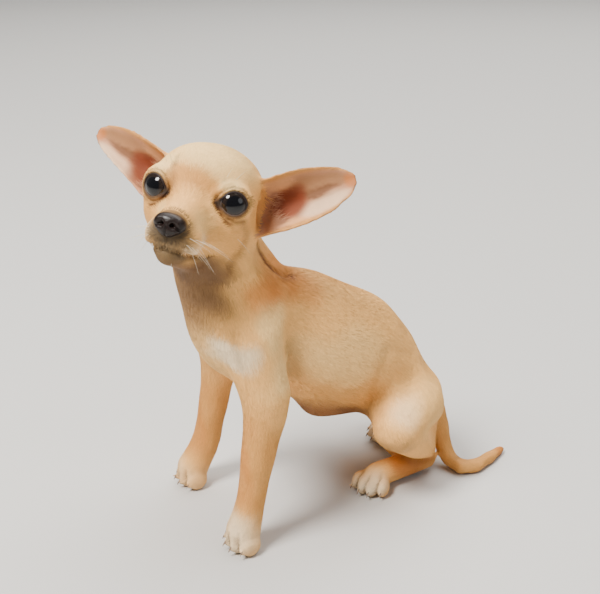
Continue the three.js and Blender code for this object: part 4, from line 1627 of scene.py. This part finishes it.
def tuft_mesh(name, coat, corners, weights, values, rng):
    """Many thin tufts, pointed at both ends, lying along the skin as one mesh."""
    count = len(corners)
    root = mixed(coat.co, corners, weights)
    normal = scaled_to_one(mixed(coat.normals, corners, weights))
    points, across = tuft_shape(coat, root, normal, mixed(coat.lie, corners, weights), values, rng)
    faces = (np.array(TUFT_FACES)[None] + 5 * np.arange(count)[:, None, None]).reshape(-1, 3)

    mesh = bpy.data.meshes.new(name)
    mesh.vertices.add(count * 5)
    mesh.vertices.foreach_set("co", points.ravel())
    mesh.loops.add(len(faces) * 3)
    mesh.loops.foreach_set("vertex_index", faces.ravel().astype(np.int32))
    mesh.polygons.add(len(faces))
    mesh.polygons.foreach_set("loop_start", np.arange(0, len(faces) * 3, 3, dtype=np.int32))
    shade_smooth(mesh)
    places = coat.on_unwrap(root)[:, None, :] + np.array(TUFT_PATCH)[None]
    bake = mesh.uv_layers.new(name="OFBake")
    bake.data.foreach_set("uv", places.reshape(-1, 2)[faces.ravel()].ravel())
    mesh.update(calc_edges=True)

    facing = np.repeat(normal[:, None, :], 5, axis=1)
    facing[:, 1] -= across * SIDE_LEAN
    facing[:, 2] += across * SIDE_LEAN
    facing = scaled_to_one(facing.reshape(-1, 3))
    mesh.normals_split_custom_set_from_vertices(facing.tolist())

    color = coat_colours(root, coat.numbers[corners[:, 0]], normal)
    shade = rng.normal(1.0, 0.04, count)
    rows = color[:, None, :] * shade[:, None, None] * np.array(TUFT_TONE)[None, :, None]
    set_colours(mesh, np.clip(rows, 0.0, 1.0).reshape(-1, 3))
    return mesh


class PUPPY_OT_coat(bpy.types.Operator):
    """Lays the short coat over the skin, in tufts that follow its lie"""

    bl_idname = "puppy.coat"
    bl_label = "Coat"

    def execute(self, context):
        coat = Coat(bpy.data.objects["skin"])
        sizes = context.scene.puppy_sizes
        rng = np.random.default_rng(sizes.seed)
        hair = coat_material("coat", roughness=0.62, variation=0.06, grain=900.0, depth=0.0)
        for name, nodes in COAT_GROUPS.items():
            wanted = on_nodes(coat.numbers, *nodes)
            corners, weights = coat.tufts(wanted, coat.values[:, DENSITY] * sizes.hair_density, rng)
            root = mixed(coat.co, corners, weights)
            keep = ~bare_places(root, mixed(coat.normals, corners, weights), coat.numbers[corners[:, 0]])
            corners, weights = corners[keep], weights[keep]
            parts = max(1, math.ceil(len(corners) / MOST_TUFTS))
            order = np.argsort(root[keep][:, 1], kind="stable")
            for part, chosen in enumerate(np.array_split(order, parts)):
                piece = f"{name}_{part + 1}" if parts > 1 else name
                values = mixed(coat.values, corners[chosen], weights[chosen])
                mesh = tuft_mesh(piece, coat, corners[chosen], weights[chosen], values, rng)
                add_piece(piece, mesh, hair, "coat_tan")
        cup = ear_fringe_places(coat)
        corners, weights = coat.tufts(cup, np.full(len(coat.co), FRINGE[DENSITY]), rng)
        values = np.tile(np.array(FRINGE, float), (len(corners), 1))
        mesh = tuft_mesh("coat_ear_fringe", coat, corners, weights, values, rng)
        add_piece("coat_ear_fringe", mesh, hair, "coat_tan")
        return {"FINISHED"}


def ear_fringe_places(coat):
    """True for the skin's vertices along the front of each ear's cup, where longer hair grows."""
    head, facing = head_rows(coat.co), head_ways(coat.normals)
    there = np.zeros(len(head), bool)
    for name in SIDES:
        along, across = ear_view(head, name)
        near = (along > -0.02) & (along < 0.09) & (np.abs(across + 0.1) < 0.6)
        there |= near & (facing[:, 1] < -0.1) & (head[:, 0] * SIDES[name] > 18)
    return there


# The stage

# The camera, in the puppy's frame
CAMERA_AT = Vector((363.5, -212.4, 264.0))
CAMERA_LOOK = Vector((-0.875, 0.485))
CAMERA_PITCH = math.radians(21.4)

# Lights: place, width and colour, and the place that they all face, in metres
LIGHTS = {
    "key": ((0.18, -0.8, 1.25), 0.5, (1.0, 0.97, 0.92)),
    "fill": ((1.1, 0.7, 0.7), 0.8, (0.95, 0.97, 1.0)),
    "top": ((-0.8, 1.0, 2.6), 3.5, (1.0, 0.98, 0.95)),
}
LIT_PLACE = Vector((0, 0, 0.08))
SKY_COLOUR = (0.95, 0.96, 1.0, 1.0)
FLOOR_HALF = 3.0


class PUPPY_OT_stage(bpy.types.Operator):
    """Sets the camera, the pale floor and the soft lights"""

    bl_idname = "puppy.stage"
    bl_label = "Stage"

    def execute(self, context):
        stage = context.scene.puppy_stage
        make_camera(stage.lens)
        make_floor()
        make_lights(stage)
        return {"FINISHED"}


def make_camera(lens):
    """The camera, at the photograph's angle."""
    data = bpy.data.cameras.new("camera")
    data.lens = lens
    data.sensor_width = 36.0
    data.sensor_fit = "HORIZONTAL"
    data.clip_start = 0.01
    camera = bpy.data.objects.new("camera", data)
    look = CAMERA_LOOK.normalized() * math.cos(CAMERA_PITCH)
    forward = Vector((look.x, look.y, -math.sin(CAMERA_PITCH)))
    camera.location = (CAMERA_AT + ORIGIN) * MM
    camera.rotation_euler = forward.to_track_quat("-Z", "Y").to_euler()
    bpy.context.scene.collection.objects.link(camera)
    bpy.context.scene.camera = camera


def make_floor():
    """A plain pale floor."""
    bm = bmesh.new()
    bmesh.ops.create_grid(bm, x_segments=1, y_segments=1, size=FLOOR_HALF)
    material = plain_material("floor", paint("floor"), roughness=0.9)
    add_mesh("floor", finished_mesh(bm, "floor"), material)


def area_light(name, place, size, watts, color):
    """A soft round light, turned towards the puppy."""
    data = bpy.data.lights.new(name, "AREA")
    data.shape = "DISK"
    data.size = size
    data.energy = watts
    data.color = color
    light = bpy.data.objects.new(name, data)
    light.location = place
    light.rotation_euler = (LIT_PLACE - Vector(place)).to_track_quat("-Z", "Y").to_euler()
    bpy.context.scene.collection.objects.link(light)


def make_lights(stage):
    """A soft light from above the left, a wide one overhead, a weak one behind, and a pale sky."""
    for name, (place, size, color) in LIGHTS.items():
        area_light(name, place, size, getattr(stage, name), color)
    world = bpy.data.worlds.new("studio")
    world.use_nodes = True
    sky = {"Color": SKY_COLOUR, "Strength": stage.sky}
    set_inputs(world.node_tree, world.node_tree.nodes["Background"], sky)
    bpy.context.scene.world = world


class PUPPY_PT_parts(bpy.types.Panel):
    """Sizes, colours and the steps that build the puppy"""

    bl_idname = "PUPPY_PT_parts"
    bl_label = "Chihuahua puppy"
    bl_space_type = "VIEW_3D"
    bl_region_type = "UI"
    bl_category = "Puppy"

    def draw(self, context):
        for title, group in (
            ("Sizes", context.scene.puppy_sizes),
            ("Colours", context.scene.puppy_colours),
            ("Stage", context.scene.puppy_stage),
        ):
            box = self.layout.box()
            box.label(text=title)
            for name in group.__annotations__:
                box.prop(group, name)
        column = self.layout.column()
        for step in STEPS:
            column.operator(step.bl_idname)


STEPS = (
    PUPPY_OT_stage, PUPPY_OT_skin, PUPPY_OT_eyes, PUPPY_OT_nose, PUPPY_OT_claws, PUPPY_OT_coat,
    PUPPY_OT_whiskers,
)
CLASSES = (PUPPY_PG_colours, PUPPY_PG_sizes, PUPPY_PG_stage, *STEPS, PUPPY_PT_parts)


def register():
    for cls in CLASSES:
        bpy.utils.register_class(cls)
    bpy.types.Scene.puppy_colours = PointerProperty(type=PUPPY_PG_colours)
    bpy.types.Scene.puppy_sizes = PointerProperty(type=PUPPY_PG_sizes)
    bpy.types.Scene.puppy_stage = PointerProperty(type=PUPPY_PG_stage)


def unregister():
    del bpy.types.Scene.puppy_stage
    del bpy.types.Scene.puppy_sizes
    del bpy.types.Scene.puppy_colours
    for cls in reversed(CLASSES):
        bpy.utils.unregister_class(cls)


def main():
    register()
    bpy.ops.puppy.stage()
    bpy.ops.puppy.skin()
    bpy.ops.puppy.eyes()
    bpy.ops.puppy.nose()
    bpy.ops.puppy.claws()
    bpy.ops.puppy.coat()
    bpy.ops.puppy.whiskers()


if __name__ == "__main__":
    main()
